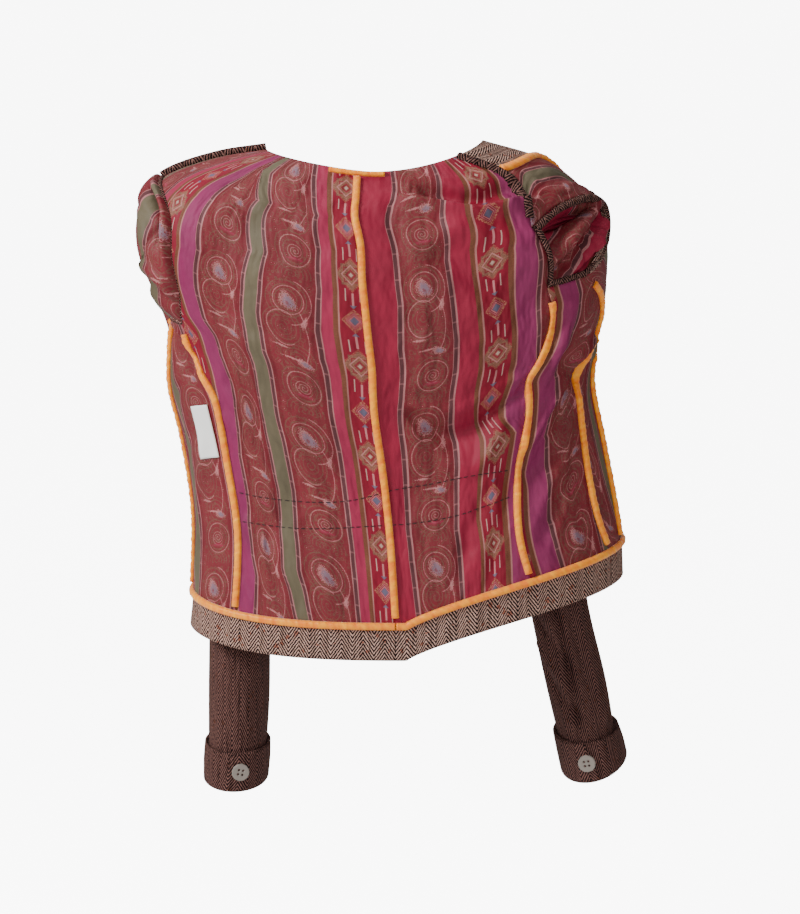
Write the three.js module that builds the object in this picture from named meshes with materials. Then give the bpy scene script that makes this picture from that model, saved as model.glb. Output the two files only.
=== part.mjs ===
// Cropped lined blazer, worn inside out: the lining outside, bound seams, tweed hem and sleeves.
// Millimetres, +Z up. The back of the garment faces -Y and its right hand side is +X.
// The origin is at the middle of the neck opening, where a figure would hold the garment up.
import * as THREE from 'three';

// Cloth and trim sizes
const clothWall = 2.4;          // tweed and lining together
const seamGap = 0.3;            // between pieces that are sewn together
const bindingWidth = 8.7;       // gold satin binding on the seam allowances
const bindingHeight = 3.6;
const allowanceWidth = 9;       // tweed seam allowance at the shoulders
const allowanceHeight = 3.4;
const rimWidth = { left: 5, right: 8 };   // tweed seam allowance round each armhole
const rimHeight = { left: 3, right: 4.5 };
const trimLift = 0.8;           // clearance of a trim from the panel that it lies on
const bentTrimLift = 1.4;       // the same where a trim follows a tight bend
const trimEnd = 7;              // a trim stops this far from one that it meets
const neckTrimEnd = 9;          // the centre back binding stops this far below the neck
const facingTrimEnd = 14;       // the facing bindings stop this far from the shoulder seams
const centreGap = 0.4;          // between the ends of the two hem bindings and the centre back seam
const rimClearance = 1;         // between an armhole's edge and its seam allowance
const sectionPower = 2.33;      // 2 is an ellipse, more is squarer
const hemRing = 10;             // ring on which the lining ends and the hem starts
const hemFoot = 11;             // ring at the lower edge of the hem
const sleeveWall = 2.2;
const sleeveSides = 18;
const cuffWall = 2.8;
const buttonRadius = 9;
const buttonThickness = 3.2;
const holeRadius = 1.1;
const holeSpacing = 2.2;
const labelWidth = 24;
const labelHeight = 53;
const labelThickness = 1;
const collarWall = 2.6;
const collarInset = 4.2;        // between the panels' outer face and the collar's outer face

// One row for each ring round the garment, from the neck to the foot of the hem.
// left, right, back, front: how far the ring reaches. zLeft and the rest: its height there.
// riseLeft, riseRight: how the ring climbs from the back to each side, 1 straight, 2 round.
const rings = [
  { left: -103, zLeft: -4, right: 109, zRight: 5, back: 68, zBack: -24, front: 60, zFront: -75,
    riseLeft: 1.5, riseRight: 2 },
  { left: -153, zLeft: -12, right: 166, zRight: -12, back: 88, zBack: -50, front: 78, zFront: -95,
    riseLeft: 2, riseRight: 2 },
  { left: -203, zLeft: -30, right: 201, zRight: -35, back: 100, zBack: -71, front: 90, zFront: -110,
    riseLeft: 2, riseRight: 2 },
  { left: -227, zLeft: -59, right: 228, zRight: -61, back: 107, zBack: -97, front: 100, zFront: -130,
    riseLeft: 2, riseRight: 2 },
  { left: -230, zLeft: -97, right: 233, zRight: -104, back: 111, zBack: -130, front: 108, zFront: -155,
    riseLeft: 2, riseRight: 2 },
  { left: -217, zLeft: -140, right: 230, zRight: -153, back: 112, zBack: -173, front: 115, zFront: -190,
    riseLeft: 2, riseRight: 2 },
  { left: -201, zLeft: -185, right: 223, zRight: -189, back: 110, zBack: -211, front: 118, zFront: -225,
    riseLeft: 2, riseRight: 2 },
  { left: -200, zLeft: -235, right: 219, zRight: -229, back: 105, zBack: -255, front: 118, zFront: -262,
    riseLeft: 2, riseRight: 1.8 },
  { left: -188, zLeft: -289, right: 231, zRight: -288, back: 100, zBack: -318, front: 118, zFront: -318,
    riseLeft: 2.5, riseRight: 1.6 },
  { left: -178, zLeft: -363, right: 243, zRight: -348, back: 108, zBack: -385, front: 124, zFront: -385,
    riseLeft: 3, riseRight: 1.1 },
  { left: -180, zLeft: -443, right: 250, zRight: -391, back: 116, zBack: -459, front: 130, zFront: -440,
    riseLeft: 3.6, riseRight: 0.8 },
  { left: -183, zLeft: -476, right: 252, zRight: -425, back: 119, zBack: -492, front: 132, zFront: -474,
    riseLeft: 3.6, riseRight: 0.8 },
];

// Seams as points on the rings. turn is in degrees round the body: 0 at the centre back,
// 90 at the right side, -90 at the left side, 180 at the centre front. ring may be a fraction.
const centreBack = [
  { turn: -8.4, ring: 0 }, { turn: -7.4, ring: 1 }, { turn: -3.2, ring: 2.2 }, { turn: -2.2, ring: 4 },
  { turn: -2.6, ring: 6 }, { turn: -1.6, ring: 7 }, { turn: -2.5, ring: 8 }, { turn: -3.6, ring: 9 },
  { turn: -2.9, ring: 10 },
];
const left = {
  neck: [{ turn: -8.4, ring: 0 }, { turn: -45.9, ring: 0 }, { turn: -86.8, ring: 0 }],
  shoulder: [{ turn: -86.8, ring: 0 }, { turn: -86.8, ring: 1 }, { turn: -86.8, ring: 2.1 }],
  armholeBack: [
    { turn: -86.8, ring: 2.1 }, { turn: -61.7, ring: 2.6 }, { turn: -54.5, ring: 3.1 },
    { turn: -53.6, ring: 4 }, { turn: -54.5, ring: 4.8 }, { turn: -59, ring: 5.5 },
  ],
  armholeFront: [
    { turn: -86.8, ring: 2.1 }, { turn: -87.2, ring: 2.6 }, { turn: -78, ring: 3.1 },
    { turn: -69, ring: 3.7 }, { turn: -67, ring: 4.3 }, { turn: -69, ring: 4.9 },
    { turn: -73.5, ring: 5.5 },
  ],
  princess: [
    { turn: -59, ring: 5.5 }, { turn: -59, ring: 6 }, { turn: -52.8, ring: 6.5 },
    { turn: -46.7, ring: 7 }, { turn: -47.2, ring: 8 }, { turn: -47.2, ring: 9 },
    { turn: -48.2, ring: 10 },
  ],
  side: [
    { turn: -72.1, ring: 5.5 }, { turn: -80.6, ring: 6 }, { turn: -81.8, ring: 7 },
    { turn: -85.5, ring: 8 }, { turn: -88.2, ring: 9 }, { turn: -88.2, ring: 10 },
  ],
  facing: [
    { turn: -86.8, ring: 0.9 }, { turn: -104, ring: 1.35 }, { turn: -110, ring: 2.6 },
    { turn: -112, ring: 5 }, { turn: -113, ring: 7 }, { turn: -113, ring: 9 },
    { turn: -113, ring: 10 }, { turn: -113, ring: 11 },
  ],
  edge: [
    { turn: -86.8, ring: 0 }, { turn: -120.2, ring: 0.8 }, { turn: -132.4, ring: 2.4 },
    { turn: -137.6, ring: 5 }, { turn: -136.7, ring: 7 }, { turn: -136.7, ring: 9 },
    { turn: -136.7, ring: 10 }, { turn: -135.9, ring: 11 },
  ],
};
const right = {
  neck: [{ turn: -8.4, ring: 0 }, { turn: 22.7, ring: 0 }, { turn: 46.2, ring: 0 }],
  shoulder: [
    { turn: 46.2, ring: 0 }, { turn: 48.8, ring: 0.75 }, { turn: 46.3, ring: 1.6 },
    { turn: 40.2, ring: 2.83 },
  ],
  armholeBack: [
    { turn: 40.2, ring: 2.83 }, { turn: 41.1, ring: 3.2 }, { turn: 42.8, ring: 3.8 },
    { turn: 43.6, ring: 4.37 },
  ],
  armholeFront: [
    { turn: 40.2, ring: 2.83 }, { turn: 51, ring: 2.42 }, { turn: 63.5, ring: 2.34 },
    { turn: 77.3, ring: 2.5 }, { turn: 85.5, ring: 2.95 }, { turn: 83, ring: 3.5 },
    { turn: 73.2, ring: 3.95 }, { turn: 59, ring: 4.3 },
  ],
  princess: [
    { turn: 43.6, ring: 4.37 }, { turn: 46.4, ring: 5 }, { turn: 45, ring: 5.7 },
    { turn: 40.7, ring: 6.5 }, { turn: 39.8, ring: 7.2 }, { turn: 33.7, ring: 8 },
    { turn: 30.2, ring: 9 }, { turn: 32.4, ring: 10 },
  ],
  side: [
    { turn: 59, ring: 4.3 }, { turn: 73.2, ring: 4.9 }, { turn: 77.3, ring: 5.4 },
    { turn: 69.2, ring: 6.3 }, { turn: 63.5, ring: 7 }, { turn: 59, ring: 8 }, { turn: 58.5, ring: 9 },
    { turn: 63.5, ring: 10 },
  ],
  facing: [
    { turn: 48.8, ring: 0.75 }, { turn: 90, ring: 1.05 }, { turn: 106.8, ring: 2 },
    { turn: 112.7, ring: 3.2 }, { turn: 110.8, ring: 4.6 }, { turn: 98.2, ring: 6 },
    { turn: 79.5, ring: 7 }, { turn: 77.3, ring: 8.2 }, { turn: 77.3, ring: 10 },
    { turn: 78.4, ring: 11 },
  ],
  edge: [
    { turn: 46.2, ring: 0 }, { turn: 90, ring: 0.05 }, { turn: 120.2, ring: 1 },
    { turn: 129, ring: 2.6 }, { turn: 130.7, ring: 4.4 }, { turn: 123.7, ring: 6 },
    { turn: 114.6, ring: 7.2 }, { turn: 110.8, ring: 8.4 }, { turn: 108.9, ring: 10 },
    { turn: 108.9, ring: 11 },
  ],
};

// The largest folds. Each runs from one point of the surface to another, is width mm to each side
// and stands height mm out of the cloth, or sinks into it where height is below 0.
const folds = [
  { name: 'ledge under the right shoulder blade',
    turn: 22.7, ring: 2.5, toTurn: 40.7, toRing: 3.7, width: 20, height: 9 },
  { name: 'trough under that ledge',
    turn: 19.8, ring: 3.3, toTurn: 37.2, toRing: 4.7, width: 20, height: -6 },
  { name: 'drape from the right side to the waist',
    turn: 49.3, ring: 5.8, toTurn: 24.6, toRing: 8, width: 16, height: 7 },
  { name: 'waist trough on the right',
    turn: 14.8, ring: 7.5, toTurn: 39, toRing: 6.6, width: 15, height: -7 },
  { name: 'hollow of the left back',
    turn: -31.9, ring: 2.6, toTurn: -37.2, toRing: 4.6, width: 26, height: -7 },
  { name: 'crease beside the centre back',
    turn: 4.5, ring: 1.2, toTurn: 8.2, toRing: 5, width: 11, height: -3 },
  { name: 'puff at the left armhole',
    turn: -77.3, ring: 3, toTurn: -81.8, toRing: 4.4, width: 18, height: 2 },
  { name: 'left side tuck',
    turn: -58.1, ring: 6.4, toTurn: -79.5, toRing: 5.7, width: 13, height: -6 },
  { name: 'right side pinch',
    turn: 67.3, ring: 7, toTurn: 52.8, toRing: 6.2, width: 12, height: -5 },
];
const millimetresPerDegree = 3.6;
const millimetresPerRing = 42;

// Counts of stations along the seams, shared by the pieces on both sides of each seam
const armholeSteps = 7;
const seamSteps = 14;
const neckSteps = 12;
const shoulderSteps = 8;
const facingShoulderSteps = 3;
const sideColumns = 6;
const hemSteps = 2;

// One row for each section of a sleeve, from the armhole to the cuff. halfX and halfY are half its
// width and depth there, tilt lifts its right side and dip lowers its back.
const sleeves = {
  left: [
    { x: -150, y: -8, z: -206, halfX: 30, halfY: 44 },
    { x: -146, y: 0, z: -250, halfX: 36, halfY: 49 },
    { x: -138, y: 8, z: -310, halfX: 36, halfY: 50 },
    { x: -134, y: 8, z: -390, halfX: 34, halfY: 47 },
    { x: -134, y: 6, z: -470, halfX: 31, halfY: 44 },
    { x: -135, y: 4, z: -550, halfX: 31, halfY: 42 },
    { x: -137, y: 4, z: -606, halfX: 29.5, halfY: 40, dip: 4 },
  ],
  right: [
    { x: 184, y: -14, z: -150, halfX: 32, halfY: 46 },
    { x: 172, y: 2, z: -225, halfX: 36, halfY: 50 },
    { x: 168, y: 8, z: -310, halfX: 36, halfY: 50 },
    { x: 176, y: 8, z: -390, halfX: 33, halfY: 47 },
    { x: 188, y: 6, z: -460, halfX: 30, halfY: 44 },
    { x: 205, y: 2, z: -535, halfX: 31, halfY: 42 },
    { x: 217, y: 0, z: -592, halfX: 28.4, halfY: 40, tilt: 4, dip: 6 },
  ],
};
// Sections of each cuff: its top edge, its middle and its foot, below the end of the sleeve
const cuffs = {
  left: [
    { x: -137, y: 4, z: -600, halfX: 33.2, halfY: 43.8, dip: 4 },
    { x: -138, y: 4, z: -618, halfX: 33.8, halfY: 44, dip: 5 },
    { x: -139, y: 4, z: -637, halfX: 33, halfY: 43, dip: 7 },
  ],
  right: [
    { x: 216.4, y: 0, z: -586, halfX: 33.2, halfY: 43.8, tilt: 4, dip: 6 },
    { x: 221, y: 0, z: -603, halfX: 34, halfY: 44, tilt: 6, dip: 9 },
    { x: 225, y: 0, z: -620, halfX: 33.5, halfY: 43, tilt: 9, dip: 12 },
  ],
};
const mouthDepth = 3.6;         // the sleeve meets the armhole this far under the panels' outer face
const mouthGap = 0.6;           // between the armhole's edge and the top of the sleeve
const mouthSteps = 4;           // rings between the armhole and the first section
const sectionSteps = 2;         // rings from one section of a sleeve to the next

const finish = {
  lining: { color: 0x93394a, roughness: 0.62 },
  tweed: { color: 0x6f5150, roughness: 0.95 },
  satin: { color: 0xe29a38, roughness: 0.4 },
  label: { color: 0xf2f1ee, roughness: 0.7 },
  pearl: { color: 0xc9c4bf, roughness: 0.25 },
};

const group = new THREE.Group();

// Smooth value through equally spaced rows, at a fractional row
function smoothRow(values, position) {
  const last = values.length - 1;
  const clamped = Math.min(Math.max(position, 0), last);
  const index = Math.min(Math.floor(clamped), last - 1);
  const f = clamped - index;
  const b = values[index];
  const c = values[index + 1];
  const a = index > 0 ? values[index - 1] : 2 * b - c;
  const d = index + 2 <= last ? values[index + 2] : 2 * c - b;
  return 0.5 * (2 * b + (c - a) * f + (2 * a - 5 * b + 4 * c - d) * f * f + (3 * b - a - 3 * c + d) * f ** 3);
}

const ringValues = {};
for (const key of Object.keys(rings[0])) ringValues[key] = rings.map((row) => row[key]);

function ringAt(ring) {
  const row = {};
  for (const key of Object.keys(ringValues)) row[key] = smoothRow(ringValues[key], ring);
  return row;
}

// A point of the smooth garment surface, before its folds
function bodyPoint(turn, ring) {
  const row = ringAt(ring);
  const angle = THREE.MathUtils.degToRad(turn);
  const across = Math.sin(angle);
  const along = Math.cos(angle);
  const reach = (Math.abs(across) ** sectionPower + Math.abs(along) ** sectionPower) ** (-1 / sectionPower);
  const x = (row.left + row.right) / 2 + (row.right - row.left) / 2 * reach * across;
  const y = -(along > 0 ? row.back : row.front) * reach * along;
  const rise = Math.abs(across) ** (along > 0 ? (across > 0 ? row.riseRight : row.riseLeft) : 2);
  const zSide = across > 0 ? row.zRight : row.zLeft;
  const zEnd = along > 0 ? row.zBack : row.zFront;
  return new THREE.Vector3(x, y, zSide * rise + zEnd * (1 - rise));
}

// How far the folds move the cloth out at a point of the surface
function foldHeight(turn, ring) {
  let height = 0;
  for (const fold of folds) {
    const runX = (fold.toTurn - fold.turn) * millimetresPerDegree;
    const runY = (fold.toRing - fold.ring) * millimetresPerRing;
    const toX = (turn - fold.turn) * millimetresPerDegree;
    const toY = (ring - fold.ring) * millimetresPerRing;
    const share = Math.min(Math.max((toX * runX + toY * runY) / (runX * runX + runY * runY), 0), 1);
    const away = Math.hypot(toX - share * runX, toY - share * runY) / fold.width;
    height += fold.height * Math.exp(-away * away);
  }
  return height;
}

function bodyNormal(turn, ring) {
  const stepTurn = 0.5;
  const stepRing = 0.04;
  const low = Math.max(ring - stepRing, 0);
  const high = Math.min(ring + stepRing, hemFoot);
  const round = bodyPoint(turn + stepTurn, ring).sub(bodyPoint(turn - stepTurn, ring));
  const down = bodyPoint(turn, high).sub(bodyPoint(turn, low));
  return down.cross(round).normalize();
}

// The garment's outer face, moved out by lift
function surfacePoint(turn, ring, lift) {
  const height = foldHeight(turn, ring) + lift;
  return bodyPoint(turn, ring).addScaledVector(bodyNormal(turn, ring), height);
}

// Stations along a seam, evenly spaced along its length
function stationsAlong(seam, steps) {
  const points = seam.map((row) => new THREE.Vector3(
    row.turn * millimetresPerDegree, row.ring * millimetresPerRing, 0));
  const curve = new THREE.CatmullRomCurve3(points, false, 'centripetal');
  return curve.getSpacedPoints(steps).map((point) => ({
    turn: point.x / millimetresPerDegree, ring: point.y / millimetresPerRing }));
}

const mix = (a, b, f) => a + (b - a) * f;

function mixStation(a, b, f) {
  return { turn: mix(a.turn, b.turn, f), ring: mix(a.ring, b.ring, f) };
}

// Fills the area between four runs of stations. start and end hold a station for each row, top and
// bottom one for each column.
function patch(start, end, top, bottom) {
  const rows = start.length - 1;
  const columns = top.length - 1;
  const grid = [];
  for (let r = 0; r <= rows; r += 1) {
    const line = [];
    const v = r / rows;
    for (let c = 0; c <= columns; c += 1) {
      const u = c / columns;
      const value = (key) => mix(start[r][key], end[r][key], u)
        + (1 - v) ** 2 * (top[c][key] - mix(top[0][key], top[columns][key], u))
        + v ** 2 * (bottom[c][key] - mix(bottom[0][key], bottom[columns][key], u));
      line.push({ turn: value('turn'), ring: value('ring') });
    }
    grid.push(line);
  }
  return grid;
}

// Moves the outermost points of a face inwards by half a seam gap
function insetFace(points) {
  const rows = points.length;
  const columns = points[0].length;
  const moved = points.map((line) => line.map((point) => point.clone()));
  const pull = (target, from, to, before, after) => {
    const edge = after.clone().sub(before).normalize();
    const inwards = to.clone().sub(from);
    inwards.addScaledVector(edge, -inwards.dot(edge)).normalize();
    target.addScaledVector(inwards, seamGap / 2);
  };
  for (let r = 0; r < rows; r += 1) {
    const up = Math.max(r - 1, 0);
    const down = Math.min(r + 1, rows - 1);
    pull(moved[r][0], points[r][0], points[r][1], points[up][0], points[down][0]);
    const last = columns - 1;
    pull(moved[r][last], points[r][last], points[r][last - 1], points[up][last], points[down][last]);
  }
  for (let c = 0; c < columns; c += 1) {
    const before = Math.max(c - 1, 0);
    const after = Math.min(c + 1, columns - 1);
    pull(moved[0][c], points[0][c], points[1][c], points[0][before], points[0][after]);
    const last = rows - 1;
    pull(moved[last][c], points[last][c], points[last - 1][c], points[last][before], points[last][after]);
  }
  return moved;
}

function closedGeometry(points, triangles) {
  const geometry = new THREE.BufferGeometry();
  const positions = points.flatMap((point) => [point.x, point.y, point.z]);
  geometry.setAttribute('position', new THREE.Float32BufferAttribute(positions, 3));
  geometry.setIndex(triangles);
  geometry.computeVertexNormals();
  return geometry;
}

function signedVolume(points, triangles) {
  let volume = 0;
  for (let i = 0; i < triangles.length; i += 3) {
    const [a, b, c] = [points[triangles[i]], points[triangles[i + 1]], points[triangles[i + 2]]];
    volume += a.dot(b.clone().cross(c)) / 6;
  }
  return volume;
}

function addMesh(name, points, triangles, look) {
  const facesOut = signedVolume(points, triangles) > 0;
  const order = [];
  for (let i = 0; i < triangles.length; i += 3) {
    const [a, b, c] = triangles.slice(i, i + 3);
    order.push(...(facesOut ? [a, b, c] : [a, c, b]));
  }
  const material = new THREE.MeshStandardMaterial({
    color: look.color, roughness: look.roughness, metalness: 0 });
  const mesh = new THREE.Mesh(closedGeometry(points, order), material);
  mesh.name = name;
  group.add(mesh);
  return mesh;
}

// A wall between an outer and an inner face of equal rows and columns
function addWall(name, outer, inner, look) {
  const rows = outer.length;
  const columns = outer[0].length;
  const points = [...outer.flat(), ...inner.flat()];
  const at = (side, r, c) => side * rows * columns + r * columns + c;
  const triangles = [];
  const quad = (a, b, c, d) => triangles.push(a, b, c, a, c, d);
  for (let r = 0; r < rows - 1; r += 1) {
    for (let c = 0; c < columns - 1; c += 1) {
      quad(at(0, r, c), at(0, r, c + 1), at(0, r + 1, c + 1), at(0, r + 1, c));
      quad(at(1, r, c), at(1, r + 1, c), at(1, r + 1, c + 1), at(1, r, c + 1));
    }
  }
  for (let c = 0; c < columns - 1; c += 1) {
    quad(at(0, 0, c + 1), at(0, 0, c), at(1, 0, c), at(1, 0, c + 1));
    quad(at(0, rows - 1, c), at(0, rows - 1, c + 1), at(1, rows - 1, c + 1), at(1, rows - 1, c));
  }
  for (let r = 0; r < rows - 1; r += 1) {
    quad(at(0, r, 0), at(0, r + 1, 0), at(1, r + 1, 0), at(1, r, 0));
    quad(at(0, r + 1, columns - 1), at(0, r, columns - 1), at(1, r, columns - 1), at(1, r + 1, columns - 1));
  }
  return addMesh(name, points, triangles, look);
}

// A cloth panel over a grid of stations, with its outer face lift out of the surface
function addPanel(name, grid, look, lift = 0, wall = clothWall) {
  const face = (out) => insetFace(
    grid.map((line) => line.map((station) => surfacePoint(station.turn, station.ring, out))));
  return addWall(name, face(lift), face(lift - wall), look);
}

// Rings of points joined into a solid: rings[i] has the same number of points all round.
// closedPath joins the last ring to the first, otherwise the ends are capped.
function addSweep(name, sweep, look, closedPath = false) {
  const sides = sweep[0].length;
  const points = sweep.flat();
  const triangles = [];
  const count = closedPath ? sweep.length : sweep.length - 1;
  for (let i = 0; i < count; i += 1) {
    const next = (i + 1) % sweep.length;
    for (let j = 0; j < sides; j += 1) {
      const k = (j + 1) % sides;
      triangles.push(i * sides + j, next * sides + j, next * sides + k);
      triangles.push(i * sides + j, next * sides + k, i * sides + k);
    }
  }
  if (!closedPath) {
    const last = (sweep.length - 1) * sides;
    for (let j = 1; j < sides - 1; j += 1) {
      triangles.push(0, j, j + 1);
      triangles.push(last, last + j + 1, last + j);
    }
  }
  return addMesh(name, points, triangles, look);
}

// The station that lies distance mm from another, in a direction along the surface
function stepAside(station, direction, distance) {
  const stepTurn = 0.2;
  const stepRing = 0.02;
  const low = Math.max(station.ring - stepRing, 0);
  const high = Math.min(station.ring + stepRing, hemFoot);
  const round = bodyPoint(station.turn + stepTurn, station.ring)
    .sub(bodyPoint(station.turn - stepTurn, station.ring)).divideScalar(2 * stepTurn);
  const down = bodyPoint(station.turn, high).sub(bodyPoint(station.turn, low)).divideScalar(high - low);
  const roundRound = round.dot(round);
  const roundDown = round.dot(down);
  const downDown = down.dot(down);
  const alongRound = direction.dot(round) * distance;
  const alongDown = direction.dot(down) * distance;
  const scale = roundRound * downDown - roundDown * roundDown;
  return {
    turn: station.turn + (alongRound * downDown - alongDown * roundDown) / scale,
    ring: station.ring + (alongDown * roundRound - alongRound * roundDown) / scale,
  };
}

// A trim with a low round top, laid along stations on the outside of the panels, lift out of their
// face. closedPath joins its two ends, and aside moves it sideways on the cloth.
function addTrim(name, stations, width, height, look, lift = trimLift, closedPath = false, aside = 0) {
  const section = [
    { across: -0.5, up: 0 }, { across: 0.5, up: 0 }, { across: 0.4, up: 0.7 },
    { across: 0, up: 1 }, { across: -0.4, up: 0.7 },
  ];
  const count = stations.length;
  const sweep = stations.map((station, i) => {
    const before = closedPath ? stations[(i + count - 1) % count] : stations[Math.max(i - 1, 0)];
    const after = closedPath ? stations[(i + 1) % count] : stations[Math.min(i + 1, count - 1)];
    const along = surfacePoint(after.turn, after.ring, 0).sub(surfacePoint(before.turn, before.ring, 0));
    const sideways = along.cross(bodyNormal(station.turn, station.ring)).normalize();
    return section.map((corner) => {
      const beside = stepAside(station, sideways, aside + corner.across * width);
      return surfacePoint(beside.turn, beside.ring, lift + corner.up * height);
    });
  });
  return addSweep(name, sweep, look, closedPath);
}

// Drops the stations that lie within distance mm of either end of a seam
function shortened(stations, startGap, endGap) {
  const place = (station) => surfacePoint(station.turn, station.ring, 0);
  const cut = (list, gap) => {
    let rest = gap;
    const kept = list.slice();
    while (kept.length > 2) {
      const length = place(kept[0]).distanceTo(place(kept[1]));
      if (length > rest) {
        kept[0] = mixStation(kept[0], kept[1], rest / length);
        return kept;
      }
      rest -= length;
      kept.shift();
    }
    return kept;
  };
  const fromStart = startGap > 0 ? cut(stations, startGap) : stations.slice();
  return endGap > 0 ? cut(fromStart.reverse(), endGap).reverse() : fromStart;
}

// Backs, sides, fronts, facings and hems of one half
const backRows = shoulderSteps + armholeSteps + seamSteps;
const frontRows = armholeSteps + seamSteps;
const centreStations = stationsAlong(centreBack, backRows);

function level(from, to, ring, steps) {
  const list = [];
  for (let i = 0; i <= steps; i += 1) list.push({ turn: mix(from, to, i / steps), ring });
  return list;
}

function buildHalf(side, seams) {
  const neck = stationsAlong(seams.neck, neckSteps);
  const shoulder = stationsAlong(seams.shoulder, shoulderSteps);
  const armholeBack = stationsAlong(seams.armholeBack, armholeSteps);
  const armholeFront = stationsAlong(seams.armholeFront, armholeSteps);
  const princess = stationsAlong(seams.princess, seamSteps);
  const sideSeam = stationsAlong(seams.side, seamSteps);
  const facing = stationsAlong(seams.facing.slice(0, -1), frontRows);
  const edge = stationsAlong(seams.edge.slice(0, -1), frontRows);
  const facingFoot = stationsAlong(seams.facing.slice(-2), hemSteps);
  const edgeFoot = stationsAlong(seams.edge.slice(-2), hemSteps);

  const backEdge = [...shoulder, ...armholeBack.slice(1), ...princess.slice(1)];
  const frontEdge = [...armholeFront, ...sideSeam.slice(1)];
  const hemTurns = {
    centre: centreStations[backRows].turn,
    princess: princess[seamSteps].turn,
    side: sideSeam[seamSteps].turn,
    facing: facing[frontRows].turn,
    edge: edge[frontRows].turn,
  };
  facing[frontRows] = { turn: hemTurns.facing, ring: hemRing };

  const backFoot = level(hemTurns.centre, hemTurns.princess, hemRing, neckSteps);
  addPanel(`back_${side}`, patch(centreStations, backEdge, neck, backFoot), finish.lining);

  const sideTop = level(0, 1, 0, sideColumns).map((step) => mixStation(princess[0], sideSeam[0], step.turn));
  const sideFoot = level(hemTurns.princess, hemTurns.side, hemRing, sideColumns);
  addPanel(`side_${side}`, patch(princess, sideSeam, sideTop, sideFoot), finish.lining);

  const frontTop = shoulder.slice(facingShoulderSteps).reverse();
  facing[0] = frontTop[frontTop.length - 1];
  const frontFoot = level(hemTurns.side, hemTurns.facing, hemRing, frontTop.length - 1);
  addPanel(`front_${side}`, patch(frontEdge, facing, frontTop, frontFoot), finish.lining);

  const facingTop = shoulder.slice(0, facingShoulderSteps + 1).reverse();
  const facingOuter = [...facing, ...facingFoot.slice(1)];
  const facingInner = [...edge, ...edgeFoot.slice(1)];
  const facingEnd = level(facingFoot[hemSteps].turn, edgeFoot[hemSteps].turn, hemFoot, facingShoulderSteps);
  addPanel(`facing_${side}`, patch(facingOuter, facingInner, facingTop, facingEnd), finish.tweed);

  const hemTop = [...backFoot, ...sideFoot.slice(1), ...frontFoot.slice(1)];
  const hemGrid = [];
  for (let i = 0; i <= hemSteps; i += 1) {
    const ring = mix(hemRing, hemFoot, i / hemSteps);
    hemGrid.push(hemTop.map((station) => ({ turn: station.turn, ring })));
  }
  addPanel(`hem_${side}`, hemGrid, finish.tweed);

  const princessTrim = shortened(princess, trimEnd + rimWidth[side], trimEnd);
  addTrim(`binding_princess_${side}`, princessTrim, bindingWidth, bindingHeight, finish.satin);
  const sideTrim = shortened(sideSeam, trimEnd + rimWidth[side], trimEnd);
  addTrim(`binding_side_${side}`, sideTrim, bindingWidth, bindingHeight, finish.satin, bentTrimLift);
  const facingTrim = shortened(facing, facingTrimEnd, trimEnd);
  addTrim(`binding_facing_${side}`, facingTrim, bindingWidth, bindingHeight, finish.satin);
  const facingHem = level(hemTurns.facing, hemTurns.edge, hemRing, facingShoulderSteps);
  const hemLine = [...hemTop, ...facingHem.slice(1)];
  const hemTrim = shortened(hemLine, centreGap, centreGap);
  addTrim(`binding_hem_${side}`, hemTrim, bindingWidth, bindingHeight, finish.satin);
  const shoulderTrim = shortened(shoulder, trimEnd, trimEnd + rimWidth[side]);
  addTrim(`shoulder_seam_${side}`, shoulderTrim, allowanceWidth, allowanceHeight, finish.tweed);

  const mouth = [...armholeBack, ...sideTop.slice(1), ...armholeFront.slice(1, -1).reverse()];
  const rimAside = -(rimWidth[side] / 2 + rimClearance);
  addTrim(`armhole_seam_${side}`, mouth, rimWidth[side], rimHeight[side], finish.tweed, bentTrimLift, true,
    rimAside);

  return mouth;
}

const mouths = { left: buildHalf('left', left), right: buildHalf('right', right) };

const centreTrim = shortened(centreStations, neckTrimEnd, trimEnd);
addTrim('binding_centre_back', centreTrim, bindingWidth, bindingHeight, finish.satin);

// The care label hangs from the left princess seam and lies on the left side panel
const labelTop = { turn: -50.2, ring: 7.1 };
const labelRows = 6;

function labelFace(lift) {
  const top = bodyPoint(labelTop.turn, labelTop.ring);
  const down = bodyPoint(labelTop.turn, labelTop.ring + 1).sub(top).normalize();
  const lines = [];
  let station = labelTop;
  for (let i = 0; i <= labelRows; i += 1) {
    const sideways = down.clone().cross(bodyNormal(station.turn, station.ring)).normalize();
    const here = station;
    lines.push([0, 0.5, 1].map((share) => {
      const beside = stepAside(here, sideways, share * labelWidth);
      return surfacePoint(beside.turn, beside.ring, lift);
    }));
    station = stepAside(station, down, labelHeight / labelRows);
  }
  return lines;
}
addWall('care_label', labelFace(trimLift + labelThickness), labelFace(trimLift), finish.label);

// The neck seam's binding shows at the centre back only
const neckBinding = { from: -22, to: 5, ring: 0.12, width: 5, steps: 6 };
const neckTrim = level(neckBinding.from, neckBinding.to, neckBinding.ring, neckBinding.steps);
addTrim('binding_neck', neckTrim, neckBinding.width, bindingHeight, finish.satin);

// The collar turns down inside the neck, behind the panels' inner face
const collar = { fromTurn: -100, toTurn: 100, top: 0.06, foot: 1.05, columns: 24, rows: 3 };
const collarGrid = [];
for (let i = 0; i <= collar.rows; i += 1) {
  const ring = mix(collar.top, collar.foot, i / collar.rows);
  collarGrid.push(level(collar.fromTurn, collar.toTurn, ring, collar.columns));
}
addPanel('collar', collarGrid, finish.tweed, -collarInset, collarWall);

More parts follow.
